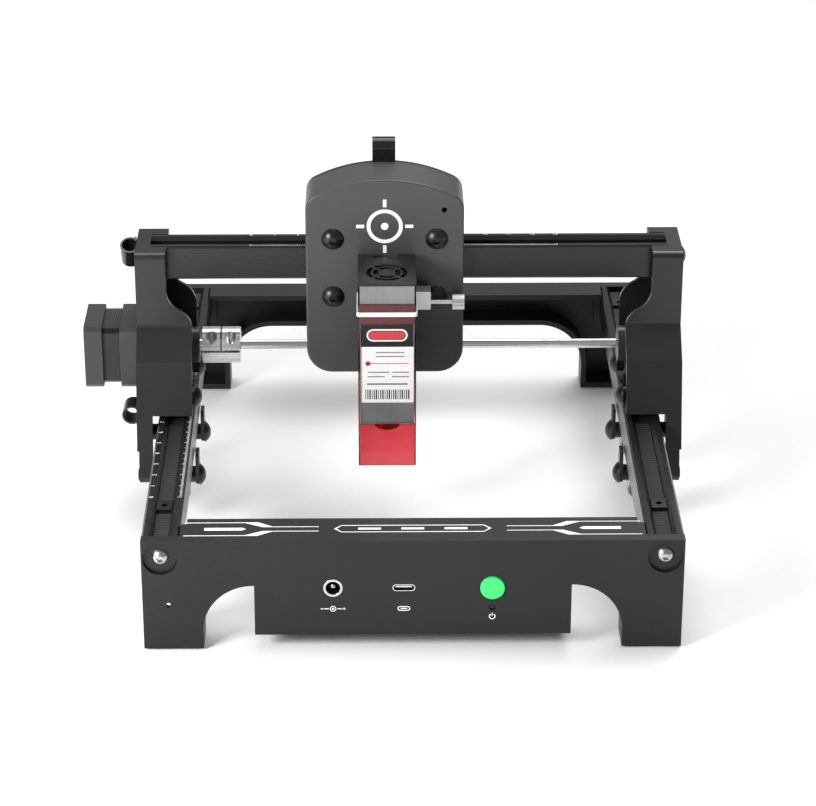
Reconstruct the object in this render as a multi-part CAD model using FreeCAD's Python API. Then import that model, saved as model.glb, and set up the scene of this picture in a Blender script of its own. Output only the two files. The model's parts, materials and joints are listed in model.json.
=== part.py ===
"""Desktop laser cutter: a small gantry machine on two slotted rails.

Millimetres, +X to the right, +Y to the back, +Z up. The pieces are drawn with X = 0 on the
centre line, Y = 0 on the front face and Z = 0 on the table, then moved so that the origin is
under the middle of the whole machine.
"""
import FreeCAD, Part
import math
import os

V = FreeCAD.Vector

# ---- driving dimensions -------------------------------------------------------------------
# frame
FRAME_WIDTH = 213.0          # across both rails
RAIL_LENGTH = 250.0
PANEL_HEIGHT = 48.3          # table to the top of the rails
SLOT_BAR = 15.0              # side of the square slotted bar
PANEL_WALL = 2.4
END_THICKNESS = 5.0          # solid panel in front of each rail end
PANEL_DEPTH = 15.0           # rim of each end panel
FLANGE_DEPTH = 19.6          # top flange and electronics box of the front panel
PAD_HEIGHT = 0.8
LEG_WIDTH = 23.7
ARCH_RADIUS = 20.0
ARCH_TOP_FRONT = PANEL_HEIGHT - 19.6
ARCH_TOP_REAR = PANEL_HEIGHT - 15.3
BOX_HALF_WIDTH = 62.5        # electronics box between the front arches
BOX_BOTTOM = 6.7
COVER_THICKNESS = 2.0
# slotted bar section
SLOT_MOUTH = 9.2
SLOT_THROAT = 6.2
SLOT_BEVEL = 1.5
SLOT_LIP = 2.0
CHAMBER_WIDTH = 8.0
CHAMBER_STEP = 2.9
CORE_WIDTH = 6.2
BAR_CORNER = 0.8
BAR_BORE = 4.2
# wheels
WHEEL_DIAMETER = 15.2        # carriage wheels and the gantry's upper wheels
WHEEL_WIDTH = 8.8
LARGE_WHEEL = 24.0           # the gantry's lower wheels
LARGE_WHEEL_WIDTH = 10.2
WHEEL_SINK = 2.0             # how far the rim reaches into the slot
WHEEL_GAP = 0.3              # square to the slot's bevel
AXLE_DIAMETER = 5.0
RUNNING_GAP = 0.05           # radial, wheels and shafts in their bores
BOLT_HEAD = 9.5
BOLT_HEAD_HEIGHT = 2.75
BOLT_SOCKET = 3.0
NUT_FLATS = 8.0
NUT_HEIGHT = 4.0
SPACER_DIAMETER = 7.0
WHEEL_SIDE_GAP = 0.3
# gantry, in the pose shown: the laser stands 70.5 on the side scale
BEAM_Y = 146.2
BEAM_Z = PANEL_HEIGHT + 60.3
BEAM_HALF = FRAME_WIDTH / 2 + 3.15
BRACKET_OUTER = FRAME_WIDTH / 2 + 9.2
BRACKET_WALL = 2.0
CAP_INNER = FRAME_WIDTH / 2 - 3.7  # inner edge of the narrow upper part
FLANGE_INNER = FRAME_WIDTH / 2 - 14.4  # inner edge of the wide lower part
LEG_INNER = FRAME_WIDTH / 2 + 2.5
FRONT_Y = 129.85
BACK_Y = 161.9
SHELF_TOP_Z = PANEL_HEIGHT + 35.1
SHELF_FRONT_Y = 117.5
SHELF_BOTTOM_Z = PANEL_HEIGHT + 23
TOE_Y = 102.4
TOE_Z = PANEL_HEIGHT - 25.5
SOLE_Y = 113.0
SOLE_Z = PANEL_HEIGHT - 30.1
HEEL_Y = 158.5
HEEL_Z = PANEL_HEIGHT - 8.3
BEND_RADIUS = 2.6
SLEEVE_BOTTOM = PANEL_HEIGHT + 1.7  # lower edge over the rail
BACK_FLANGE_BOTTOM = PANEL_HEIGHT + 14.7  # the rear wheel turns below it
ANKLE_Z = PANEL_HEIGHT - 12.8  # below this the web is thinner on the outside
ANKLE_STEP = 0.8
CURVE_TOP_Z = PANEL_HEIGHT + 50.7
CURVE_BOTTOM_Z = PANEL_HEIGHT + 33.2
UPPER_WHEELS_Y = (123.0, 155.4)
LOWER_WHEELS_Y = (109.5, 151.6)
BOLT_SEAT = FRAME_WIDTH / 2 - 15.4  # inner end of the wheel spacers
LUG_THICKNESS = 1.5
LUG_WIDTH = 7.0
LUG_RISE = 11.5
# drive across the gantry
SHAFT_Y = 144.0
SHAFT_Z = PANEL_HEIGHT + 20.2
MOTOR_SHAFT = 5.0
CROSS_SHAFT = 4.0
MOTOR_SIDE = 28.2
MOTOR_CHAMFER = 1.8
MOTOR_LENGTH = 22.9
MOTOR_CAP = 7.7
MOTOR_STACK_INSET = 1.3
SHEET_GROOVES = 9            # between the sheets of a motor's stack
MOTOR_PILOT = 22.0
MOTOR_PILOT_HEIGHT = 1.6
COUPLING_DIAMETER = 15.6
COUPLING_LENGTH = 16.2
COUPLING_END = FRAME_WIDTH / 2 - 34
PULLEY_HUB = 15.4
PULLEY_TEETH = 12.2
PULLEY_LENGTH = 14.0
PULLEY_HUB_LENGTH = 4.8
TOOTH_GROOVES = 20
BELT_WIDTH = 6.0
BELT_THICKNESS = 1.2
BELT_DEPTH = 2.35            # slot mouth to the top of the belt
LOOP_WIDTH = 5.4
BELT_GAP = 0.3
CLAMP_LENGTH = 8.0
CLAMP_INSET = 33.5           # from each end of the machine
# carriage, in the pose shown
CARRIAGE_X = -10.26
CARRIAGE_Y = 133.0
CARRIAGE_HALF = 33.35
CARRIAGE_WALL = 2.5
CARRIAGE_TOP = PANEL_HEIGHT + 99.7
CARRIAGE_BOTTOM = PANEL_HEIGHT + 11.8
CROWN_RADIUS = 65.0
SHOULDER_RADIUS = 7.0
LOWER_CORNER = 11.0
CARRIAGE_BACK = 157.5
CHEEK_BOTTOM = PANEL_HEIGHT + 70.7
BACK_PLATE_BOTTOM = PANEL_HEIGHT + 19.7
X_WHEEL_PITCH = 43.8
X_PULLEY_Z = PANEL_HEIGHT + 35.7
SIGHT_HOLE = (25.1, PANEL_HEIGHT + 86.3)
SIGHT_HOLE_DIAMETER = 2.4
# laser module
LASER_X = -9.5
MODULE_FRONT = 98.9
MODULE_DEPTH = 22.1
MODULE_WIDTH = 22.6
MODULE_BOTTOM = PANEL_HEIGHT + 3.6
MODULE_TOP = PANEL_HEIGHT + 66.4
FAN_COVER_WIDTH = 24.2
FAN_COVER_HEIGHT = 1.2
FAN_OPENING = 17.2
FAN_POCKET = 8.0
FAN_HUB = 9.0
FAN_BLADES = 7
FIN_COUNT = 6
FIN_SLOT = 1.8
FIN_DEPTH = 3.0
SLIDER_BOTTOM = PANEL_HEIGHT + 33.7
SLIDER_BACK = 130.0
DOVETAIL_WIDTH = 12.0
DOVETAIL_NECK = 8.0
SLIDE_GAP = 0.3
NOZZLE_DIAMETER = 11.0
NOZZLE_LENGTH = 6.0
CLAMP_BLOCK = (6.4, 8.0, 8.0)
CLAMP_BLOCK_Z = PANEL_HEIGHT + 45.6
THUMB_SCREW = 1.7
THUMB_KNOB = 6.6
THUMB_KNOB_LENGTH = 5.0
THUMB_KNOB_RIGHT = 23.3
SHIELD_WALL = 0.7
SHIELD_GAP = 0.1
SHIELD_BOTTOM = PANEL_HEIGHT - 15.6
SHIELD_TOP = PANEL_HEIGHT + 58.1
SHIELD_WINDOW_TOP = PANEL_HEIGHT + 49.4
BAND_Z = PANEL_HEIGHT + 53.9
BAND_HEIGHT = 1.8
BAND_PROUD = 0.5
# front fittings
BUTTON_X = 31.3
BUTTON_DIAMETER = 9.8
BUTTON_PROUD = 1.0
BUTTON_TRAVEL = 1.2
JACK_X = -31.5
JACK_DIAMETER = 8.0
USB_X = -3.6
USB_WIDTH = 9.0
USB_HEIGHT = 3.2
FITTING_Z = 27.5
LAMP_HOLE_Z = 18.5
LAMP_HOLE = 2.4
SIDE_HOLE = (10.2 - FRAME_WIDTH / 2, 20.1)
SIDE_HOLE_DIAMETER = 2.2
SCREW_RECESS = 7.0
SCREW_RECESS_DEPTH = 1.6
RAIL_SCREW = 4.0
RAIL_SCREW_HEAD = 7.0
RAIL_SCREW_HEAD_HEIGHT = 2.2
RAIL_SCREW_LENGTH = 12.0
# clips
CLIP_DIAMETER = 8.4
CLIP_WALL = 0.8
CLIP_LENGTH = 9.8
CLIP_REACH = 2.6             # from its base to the middle of the loop
SIDE_CLIPS = ((122.9, PANEL_HEIGHT - 1.1), (144.8, BEAM_Z + 2.8))

# ---- places worked out from them ----------------------------------------------------------
HALF_FRAME = FRAME_WIDTH / 2
RAIL_X = HALF_FRAME - SLOT_BAR / 2
RAIL_INNER = HALF_FRAME - SLOT_BAR
RAIL_Z = PANEL_HEIGHT - SLOT_BAR / 2
RAIL_BOTTOM = PANEL_HEIGHT - SLOT_BAR
MACHINE_LENGTH = RAIL_LENGTH + 2 * END_THICKNESS
WHEEL_RADIUS = WHEEL_DIAMETER / 2
WHEEL_OFFSET = SLOT_BAR / 2 + WHEEL_RADIUS - WHEEL_SINK
BEAM_TOP = BEAM_Z + SLOT_BAR / 2
BEAM_FRONT = BEAM_Y - SLOT_BAR / 2
PULLEY_RADIUS = PULLEY_TEETH / 2
LARGE_OFFSET = SLOT_BAR / 2 + LARGE_WHEEL / 2 - WHEEL_SINK
X_WHEELS = [(CARRIAGE_X + s * X_WHEEL_PITCH / 2, BEAM_Z + t * WHEEL_OFFSET)
            for s in (-1, 1) for t in (1, -1)]
Y_WHEELS = [(y, RAIL_Z + WHEEL_OFFSET, WHEEL_DIAMETER, WHEEL_WIDTH) for y in UPPER_WHEELS_Y]
Y_WHEELS += [(y, RAIL_Z - LARGE_OFFSET, LARGE_WHEEL, LARGE_WHEEL_WIDTH) for y in LOWER_WHEELS_Y]
COVER_TOP = MODULE_TOP + FAN_COVER_HEIGHT
FAN_Y = MODULE_FRONT - SHIELD_WALL - SHIELD_GAP + FAN_COVER_WIDTH / 2
SHIELD_HALF = MODULE_WIDTH / 2 + SHIELD_GAP + SHIELD_WALL
SHIELD_FRONT = MODULE_FRONT - SHIELD_GAP - SHIELD_WALL
SHIELD_BACK = MODULE_FRONT + MODULE_DEPTH - 1.5
THUMB_Y = SLIDER_BACK - 2.2
THUMB_Z = CLAMP_BLOCK_Z + 1.2


# ---- drawing helpers ----------------------------------------------------------------------
def box(x0, x1, y0, y1, z0, z1):
    """A block between two corners."""
    return Part.makeBox(x1 - x0, y1 - y0, z1 - z0, V(x0, y0, z0))


def rod_x(x0, x1, y, z, diameter):
    """A round bar along X."""
    return Part.makeCylinder(diameter / 2, x1 - x0, V(x0, y, z), V(1, 0, 0))


def rod_y(x, y0, y1, z, diameter):
    """A round bar along Y."""
    return Part.makeCylinder(diameter / 2, y1 - y0, V(x, y0, z), V(0, 1, 0))


def rod_z(x, y, z0, z1, diameter):
    """A round bar along Z."""
    return Part.makeCylinder(diameter / 2, z1 - z0, V(x, y, z0), V(0, 0, 1))


def prism(points, direction):
    """A straight-sided block from a closed outline."""
    return Part.Face(Part.makePolygon(points + points[:1])).extrude(direction)


def cut(shape, tools):
    """One solid less several others."""
    return shape.cut(Part.makeCompound(tools))


def join(shapes):
    """Several touching solids as one, with no seams."""
    return shapes[0].fuse(shapes[1:]).removeSplitter()


def mirrored(shape):
    """The same piece on the other side of the centre line."""
    return shape.mirror(V(0, 0, 0), V(1, 0, 0))


def hex_bar(centre, axis, flats, length):
    """A six-sided bar that starts at a point."""
    radius = flats / math.sqrt(3)
    corners = [V(radius * math.cos(math.radians(60 * i)), radius * math.sin(math.radians(60 * i)), 0)
               for i in range(6)]
    bar = prism(corners, V(0, 0, length))
    bar.Placement = FreeCAD.Placement(centre, FreeCAD.Rotation(V(0, 0, 1), axis))
    return bar


def button_screw(head_face, axis, head, head_height, shank, length, socket):
    """A domed socket screw; head_face is the point under the head, axis runs down the shank."""
    sphere_radius = (head_height ** 2 + (head / 2) ** 2) / (2 * head_height)
    ball = Part.makeSphere(sphere_radius, V(0, 0, sphere_radius - head_height))
    dome = ball.common(Part.makeCylinder(head / 2, head_height, V(0, 0, -head_height)))
    stem = Part.makeCylinder(shank / 2, length)
    key = hex_bar(V(0, 0, -head_height - 1), V(0, 0, 1), socket, 1 + head_height * 0.6)
    screw = dome.fuse(stem).cut(key)
    screw.Placement = FreeCAD.Placement(head_face, FreeCAD.Rotation(V(0, 0, 1), axis))
    return screw


def fillet_where(shape, radius, wanted):
    """Rounds the edges that a test picks out."""
    return shape.makeFillet(radius, [edge for edge in shape.Edges if wanted(edge)])


def edge_along(edge, axis):
    """True for a straight edge parallel to an axis."""
    if not isinstance(edge.Curve, Part.Line):
        return False
    return abs(edge.Curve.Direction.dot(axis)) > 0.999


def rounded_block(x0, x1, y0, y1, z0, z1, radius, axis):
    """A block with its four edges along one axis rounded."""
    return fillet_where(box(x0, x1, y0, y1, z0, z1), radius, lambda e: edge_along(e, axis))


PIECES = {}


def keep(name, *solids):
    """Files the solids of one node."""
    PIECES[name] = Part.makeCompound(list(solids)) if len(solids) > 1 else solids[0]


# ---- slotted bar --------------------------------------------------------------------------
def slotted_bar(length, slotted):
    """A square bar along +Z with a bore, and a V-mouthed slot on the sides that are named by their turn."""
    half = SLOT_BAR / 2
    corner = (half - BAR_CORNER, half)
    slot = [corner, (SLOT_MOUTH / 2, half), (SLOT_THROAT / 2, half - SLOT_BEVEL),
            (SLOT_THROAT / 2, half - SLOT_LIP), (CHAMBER_WIDTH / 2, half - SLOT_LIP),
            (CHAMBER_WIDTH / 2, half - CHAMBER_STEP)]
    floor = CORE_WIDTH / 2
    slot.append((CHAMBER_WIDTH / 2 - (half - CHAMBER_STEP - floor), floor))
    points = []
    for turn in range(4):
        angle = math.radians(90 * turn)
        side = slot if turn in slotted else [corner]
        side = side + [(-x, z) for x, z in reversed(side)]
        points += [V(x * math.cos(angle) - z * math.sin(angle), x * math.sin(angle) + z * math.cos(angle), 0)
                   for x, z in side]
    bar = prism(points, V(0, 0, length))
    return bar.cut(Part.makeCylinder(BAR_BORE / 2, length))


def rail(x):
    """A side rail along Y."""
    bar = slotted_bar(RAIL_LENGTH, (0, 2))
    bar.Placement = FreeCAD.Placement(V(x, END_THICKNESS, RAIL_Z), FreeCAD.Rotation(V(0, 0, 1), V(0, 1, 0)))
    return bar


def cross_beam():
    """The beam along X between the side brackets."""
    bar = slotted_bar(2 * BEAM_HALF, (1, 3))
    bar.Placement = FreeCAD.Placement(V(-BEAM_HALF, BEAM_Y, BEAM_Z), FreeCAD.Rotation(V(0, 0, 1), V(1, 0, 0)))
    return bar


# ---- end panels ---------------------------------------------------------------------------
def panel_outline(arch_top, box_half, box_bottom, y, inset):
    """Front outline of an end panel, inset by a wall; the arches are quarter circles."""
    half = HALF_FRAME - inset
    top = PANEL_HEIGHT - inset
    foot = PAD_HEIGHT + inset
    leg = HALF_FRAME - LEG_WIDTH + inset
    spring = arch_top - ARCH_RADIUS
    radius = ARCH_RADIUS + inset
    centre = HALF_FRAME - LEG_WIDTH - ARCH_RADIUS
    diagonal = radius * math.sqrt(0.5)
    edges = []
    for side in (1, -1):
        foot_in = V(side * leg, y, foot)
        arch_low = V(side * leg, y, spring)
        arch_mid = V(side * (centre + diagonal), y, spring + diagonal)
        arch_high = V(side * centre, y, spring + radius)
        edges.append(Part.LineSegment(V(side * half, y, top), V(side * half, y, foot)))
        edges.append(Part.LineSegment(V(side * half, y, foot), foot_in))
        edges.append(Part.LineSegment(foot_in, arch_low))
        edges.append(Part.Arc(arch_low, arch_mid, arch_high))
        if box_half:
            corner = V(side * (box_half - inset), y, spring + radius)
            lower = V(side * (box_half - inset), y, box_bottom + inset)
            if centre - box_half + inset > 1e-6:
                edges.append(Part.LineSegment(arch_high, corner))
            edges.append(Part.LineSegment(corner, lower))
            arch_high = lower
        edges.append(Part.LineSegment(arch_high, V(0, y, arch_high.z)))
    edges.append(Part.LineSegment(V(-half, y, top), V(half, y, top)))
    wire = Part.Wire(Part.__sortEdges__([edge.toShape() for edge in edges]))
    return Part.Face(wire)


def panel_shell(arch_top, box_half, box_bottom):
    """A moulded tray with its face at Y = 0, solid in front of the rail ends."""
    tray = panel_outline(arch_top, box_half, box_bottom, 0, 0).extrude(V(0, PANEL_DEPTH, 0))
    hollow = panel_outline(arch_top, box_half, box_bottom, PANEL_WALL, PANEL_WALL)
    tray = tray.cut(hollow.extrude(V(0, PANEL_DEPTH, 0)))
    inner = RAIL_INNER - PANEL_WALL
    pockets = []
    for side in (-1, 1):
        x0, x1 = sorted((side * inner, side * HALF_FRAME))
        end_block = box(x0, x1, 0, END_THICKNESS, RAIL_BOTTOM - PANEL_WALL, PANEL_HEIGHT)
        tray = tray.fuse(end_block)
        x0, x1 = sorted((side * (RAIL_INNER - RUNNING_GAP), side * (HALF_FRAME + 1)))
        pockets.append(box(x0, x1, END_THICKNESS, PANEL_DEPTH + 1, RAIL_BOTTOM - RUNNING_GAP, PANEL_HEIGHT + 1))
        pockets.append(rod_y(side * RAIL_X, -1, END_THICKNESS + 1, RAIL_Z, RAIL_SCREW + 4 * RUNNING_GAP))
        pockets.append(rod_y(side * RAIL_X, -1, SCREW_RECESS_DEPTH, RAIL_Z, 2 * SCREW_RECESS))
    return cut(tray.removeSplitter(), pockets)


def front_panel():
    """Front panel: tray, deeper electronics box and top flange, and the holes for the fittings."""
    shell = panel_shell(ARCH_TOP_FRONT, BOX_HALF_WIDTH, BOX_BOTTOM)
    flange = box(-RAIL_INNER + PANEL_WALL, RAIL_INNER - PANEL_WALL, PANEL_WALL, FLANGE_DEPTH,
                 PANEL_HEIGHT - PANEL_WALL, PANEL_HEIGHT)
    floor = box(-BOX_HALF_WIDTH, BOX_HALF_WIDTH, PANEL_WALL, FLANGE_DEPTH, BOX_BOTTOM, BOX_BOTTOM + PANEL_WALL)
    parts = [shell, flange, floor]
    for side in (-1, 1):
        x0, x1 = sorted((side * BOX_HALF_WIDTH, side * (BOX_HALF_WIDTH - PANEL_WALL)))
        parts.append(box(x0, x1, PANEL_WALL, FLANGE_DEPTH, BOX_BOTTOM, PANEL_HEIGHT))
    panel = join(parts)
    holes = [rod_y(BUTTON_X, -1, PANEL_WALL + 1, FITTING_Z, BUTTON_DIAMETER + 0.7),
             rod_y(JACK_X, -1, PANEL_WALL + 1, FITTING_Z, JACK_DIAMETER),
             usb_outline(0, PANEL_WALL + 2, 0).translate(V(0, -1, 0)),
             rod_y(BUTTON_X, -1, PANEL_WALL + 1, LAMP_HOLE_Z, LAMP_HOLE),
             rod_y(SIDE_HOLE[0], -1, PANEL_WALL + 1, SIDE_HOLE[1], SIDE_HOLE_DIAMETER)]
    return cut(panel, holes)


def usb_outline(y0, y1, inset):
    """A block with the round-ended outline of the data port."""
    width = USB_WIDTH - 2 * inset
    height = USB_HEIGHT - 2 * inset
    return rounded_block(USB_X - width / 2, USB_X + width / 2, y0, y1, FITTING_Z - height / 2,
                         FITTING_Z + height / 2, height * 0.46, V(0, 1, 0))


def rear_panel():
    """Rear panel: the same tray turned round, with one wide arch."""
    shell = panel_shell(ARCH_TOP_REAR, 0, 0)
    shell = shell.mirror(V(0, 0, 0), V(0, 1, 0))
    return shell.translate(V(0, MACHINE_LENGTH, 0))


def electronics_cover():
    """Flat cover behind the electronics box."""
    gap = RUNNING_GAP
    inner = BOX_HALF_WIDTH - PANEL_WALL - gap
    return box(-inner, inner, FLANGE_DEPTH - COVER_THICKNESS, FLANGE_DEPTH, BOX_BOTTOM + PANEL_WALL + gap,
               PANEL_HEIGHT - PANEL_WALL - gap)


def control_board():
    """Circuit board upright in the box, with its motor driver and processor."""
    face = PANEL_WALL + 9.0
    width = BOX_HALF_WIDTH - PANEL_WALL - 4.0
    low = BOX_BOTTOM + PANEL_WALL + 2.0
    board = box(-width, width, face, face + 1.6, low, PANEL_HEIGHT - PANEL_WALL - 2.0)
    chip = box(-10, 4, face + 1.6, face + 3.0, low + 10, low + 24)
    driver = box(20, 34, face + 1.6, face + 5.0, low + 8, low + 22)
    switch = box(BUTTON_X - 5, BUTTON_X + 5, face - 5.4, face, FITTING_Z - 5, FITTING_Z + 5)
    return join([board, chip, driver, switch])


def rail_end_screws():
    """Button-head screws through the end panels into the rails' bores."""
    screws = []
    for x in (-RAIL_X, RAIL_X):
        for y, way in ((SCREW_RECESS_DEPTH, 1), (MACHINE_LENGTH - SCREW_RECESS_DEPTH, -1)):
            screws.append(button_screw(V(x, y, RAIL_Z), V(0, way, 0), RAIL_SCREW_HEAD, RAIL_SCREW_HEAD_HEIGHT,
                                       RAIL_SCREW, RAIL_SCREW_LENGTH, 2.5))
    return screws


def foot_pads():
    """A thin rubber pad under each leg."""
    pads = []
    centre = HALF_FRAME - LEG_WIDTH / 2
    for x in (-centre, centre):
        for y in (PANEL_DEPTH / 2, MACHINE_LENGTH - PANEL_DEPTH / 2):
            pads.append(rounded_block(x - 9, x + 9, y - 5, y + 5, 0, PAD_HEIGHT, 3.0, V(0, 0, 1)))
    return pads


def dc_jack():
    """Round power socket: barrel, rim and centre pin."""
    depth = PANEL_WALL + 9.0
    barrel = rod_y(JACK_X, 0.2, depth, FITTING_Z, JACK_DIAMETER - 2 * RUNNING_GAP)
    well = rod_y(JACK_X, -1, depth - 2.0, FITTING_Z, 5.5)
    pin = rod_y(JACK_X, 1.4, depth - 1.0, FITTING_Z, 2.1)
    return barrel.cut(well).fuse(pin)


def usb_port():
    """Data port: a thin metal shell with its tongue."""
    depth = PANEL_WALL + 9.0
    shell = usb_outline(0.2, depth, RUNNING_GAP)
    well = usb_outline(0, depth - 1.5, 0.4)
    tongue = box(USB_X - 3.2, USB_X + 3.2, 1.2, depth - 1.0, FITTING_Z - 0.35, FITTING_Z + 0.35)
    return shell.cut(well).fuse(tongue)


def power_button():
    """Round push button: cap, and a stem to the switch behind it."""
    cap = rod_y(BUTTON_X, -BUTTON_PROUD, PANEL_WALL - BUTTON_PROUD, FITTING_Z, BUTTON_DIAMETER)
    cap = fillet_where(cap, 0.5, lambda e: e.BoundBox.YMax < -BUTTON_PROUD + 0.01)
    stem = rod_y(BUTTON_X, PANEL_WALL - BUTTON_PROUD, PANEL_WALL + 9.0 - 5.4 - BUTTON_TRAVEL - 0.3, FITTING_Z, 4.0)
    return cap.fuse(stem)


# ---- belts --------------------------------------------------------------------------------
def belt_strip_y(x):
    """A toothed belt lying in the rail's upper slot."""
    top = PANEL_HEIGHT - BELT_DEPTH
    return box(x - BELT_WIDTH / 2, x + BELT_WIDTH / 2, END_THICKNESS + 1, MACHINE_LENGTH - END_THICKNESS - 1,
               top - BELT_THICKNESS, top)


def belt_strip_x():
    """The carriage belt in the beam's lower slot."""
    low = BEAM_Z - SLOT_BAR / 2 + BELT_DEPTH
    return box(-BEAM_HALF + 1, BEAM_HALF - 1, BEAM_Y - BELT_WIDTH / 2, BEAM_Y + BELT_WIDTH / 2,
               low, low + BELT_THICKNESS)


def belt_loop(wheel_a, wheel_b, pulley, level):
    """Belt from under one wheel, over the pulley and down under the next, in a (u, v) plane.

    v is the distance from the bar's centre. level is the top of the belt in the slot.
    """
    wrap = WHEEL_RADIUS + BELT_GAP + BELT_THICKNESS / 2
    turn = PULLEY_RADIUS + BELT_GAP + BELT_THICKNESS / 2
    outer = wrap + BELT_THICKNESS / 2
    start = math.acos((wheel_a[1] - level - BELT_GAP) / outer)
    angles = []
    for wheel, side in ((wheel_a, 1), (wheel_b, -1)):
        du = side * (pulley[0] - wheel[0])
        dv = pulley[1] - wheel[1]
        angles.append(math.atan2(dv, du) - math.acos((wrap + turn) / math.hypot(du, dv)))
    edges = []
    ends = []
    for shift in (BELT_THICKNESS / 2, -BELT_THICKNESS / 2):
        tips = []
        for wheel, side, angle in ((wheel_a, 1, angles[0]), (wheel_b, -1, angles[1])):
            low = start - math.pi / 2
            spots = [(wheel[0] + side * (wrap + shift) * math.cos(a), wheel[1] + (wrap + shift) * math.sin(a))
                     for a in (low, (low + angle) / 2, angle)]
            leave = (pulley[0] - side * (turn - shift) * math.cos(angle),
                     pulley[1] - (turn - shift) * math.sin(angle))
            edges.append(Part.Arc(*[V(u, v, 0) for u, v in spots]).toShape())
            edges.append(Part.LineSegment(V(spots[2][0], spots[2][1], 0), V(leave[0], leave[1], 0)).toShape())
            tips.append((spots[0], leave))
        crown = (pulley[0], pulley[1] + turn - shift)
        edges.append(Part.Arc(V(*tips[0][1], 0), V(*crown, 0), V(*tips[1][1], 0)).toShape())
        ends.append([tip[0] for tip in tips])
    for a, b in zip(ends[0], ends[1]):
        edges.append(Part.LineSegment(V(*a, 0), V(*b, 0)).toShape())
    face = Part.Face(Part.Wire(Part.__sortEdges__(edges)))
    return face.extrude(V(0, 0, LOOP_WIDTH))


def belt_loop_y(x):
    """The gantry's belt loop, in the plane of one rail."""
    wheels = [(y, WHEEL_OFFSET) for y in UPPER_WHEELS_Y]
    loop = belt_loop(wheels[0], wheels[1], (SHAFT_Y, SHAFT_Z - RAIL_Z), SLOT_BAR / 2 - BELT_DEPTH)
    turned = FreeCAD.Rotation(V(0, 1, 0), V(0, 0, 1), V(1, 0, 0), "XYZ")
    loop.Placement = FreeCAD.Placement(V(x - LOOP_WIDTH / 2, 0, RAIL_Z), turned)
    return loop


def belt_loop_x():
    """The carriage's belt loop, hanging under the beam."""
    half = X_WHEEL_PITCH / 2
    loop = belt_loop((-half, WHEEL_OFFSET), (half, WHEEL_OFFSET), (0, BEAM_Z - X_PULLEY_Z),
                     SLOT_BAR / 2 - BELT_DEPTH)
    turned = FreeCAD.Rotation(V(1, 0, 0), V(0, 0, -1), V(0, 1, 0), "XYZ")
    loop.Placement = FreeCAD.Placement(V(CARRIAGE_X, BEAM_Y - LOOP_WIDTH / 2, BEAM_Z), turned)
    return loop


def belt_clamps():
    """Clamp blocks that hold the belt ends in the rails' slots."""
    low = PANEL_HEIGHT - BELT_DEPTH
    half = SLOT_THROAT / 2 - RUNNING_GAP
    blocks = []
    for x in (-RAIL_X, RAIL_X):
        for y in (CLAMP_INSET, MACHINE_LENGTH - CLAMP_INSET + 12):
            block = box(x - half, x + half, y - CLAMP_LENGTH / 2, y + CLAMP_LENGTH / 2, low, PANEL_HEIGHT - 0.9)
            blocks.append(block.cut(hex_bar(V(x, y, low + 0.4), V(0, 0, 1), 2.5, 3.0)))
    return blocks


# ---- wheels and their bolts ---------------------------------------------------------------
def v_wheel(centre, axis, diameter, width):
    """A wheel whose rim is bevelled to run in the slot."""
    bevel_gap = WHEEL_GAP * math.sqrt(2)
    rim = SLOT_MOUTH / 2 - bevel_gap - WHEEL_SINK
    half = width / 2
    bore = AXLE_DIAMETER / 2 + RUNNING_GAP
    shoulder = diameter / 2 - (half - rim)
    outline = [(bore, -half), (shoulder, -half), (diameter / 2, -rim), (diameter / 2, rim),
               (shoulder, half), (bore, half)]
    points = [V(r, 0, w) for r, w in outline]
    face = Part.Face(Part.makePolygon(points + points[:1]))
    wheel = face.revolve(V(0, 0, 0), V(0, 0, 1), 360)
    wheel.Placement = FreeCAD.Placement(centre, FreeCAD.Rotation(V(0, 0, 1), axis))
    return wheel


def tube(start, axis, outer, inner, length):
    """A plain sleeve."""
    ring = Part.makeCylinder(outer / 2, length, start, axis)
    return ring.cut(Part.makeCylinder(inner / 2, length, start, axis))


def nut(start, axis):
    """A hexagon nut on the end of a bolt."""
    return hex_bar(start, axis, NUT_FLATS, NUT_HEIGHT).cut(
        Part.makeCylinder(AXLE_DIAMETER / 2, NUT_HEIGHT, start, axis))


def y_wheel_set(side):
    """Bolts, spacers and lugs of one side's wheels; the heads face the middle of the machine."""
    bolts = []
    spacers = []
    lugs = []
    outward = V(side, 0, 0)
    bore = AXLE_DIAMETER + 2 * RUNNING_GAP
    web = BRACKET_OUTER - BRACKET_WALL
    for y, z, diameter, width in Y_WHEELS:
        wheel_in = RAIL_X - width / 2 - WHEEL_SIDE_GAP
        wheel_out = RAIL_X + width / 2 + WHEEL_SIDE_GAP
        seat = BOLT_SEAT
        if diameter == LARGE_WHEEL:
            seat = BOLT_SEAT - LUG_THICKNESS
            x0, x1 = sorted((side * seat, side * BOLT_SEAT))
            lug = rounded_block(x0, x1, y - LUG_WIDTH / 2, y + LUG_WIDTH / 2, z - LUG_WIDTH / 2, z + LUG_RISE,
                                1.5, V(1, 0, 0))
            lugs.append(lug.cut(rod_x(x0 - 1, x1 + 1, y, z, bore)))
        bolts.append(button_screw(V(side * seat, y, z), outward, BOLT_HEAD, BOLT_HEAD_HEIGHT,
                                  AXLE_DIAMETER, BRACKET_OUTER - seat, BOLT_SOCKET))
        spacers.append(tube(V(side * BOLT_SEAT, y, z), outward, SPACER_DIAMETER, bore, wheel_in - BOLT_SEAT))
        spacers.append(tube(V(side * wheel_out, y, z), outward, SPACER_DIAMETER, bore, web - wheel_out))
    return bolts, spacers, lugs


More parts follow.
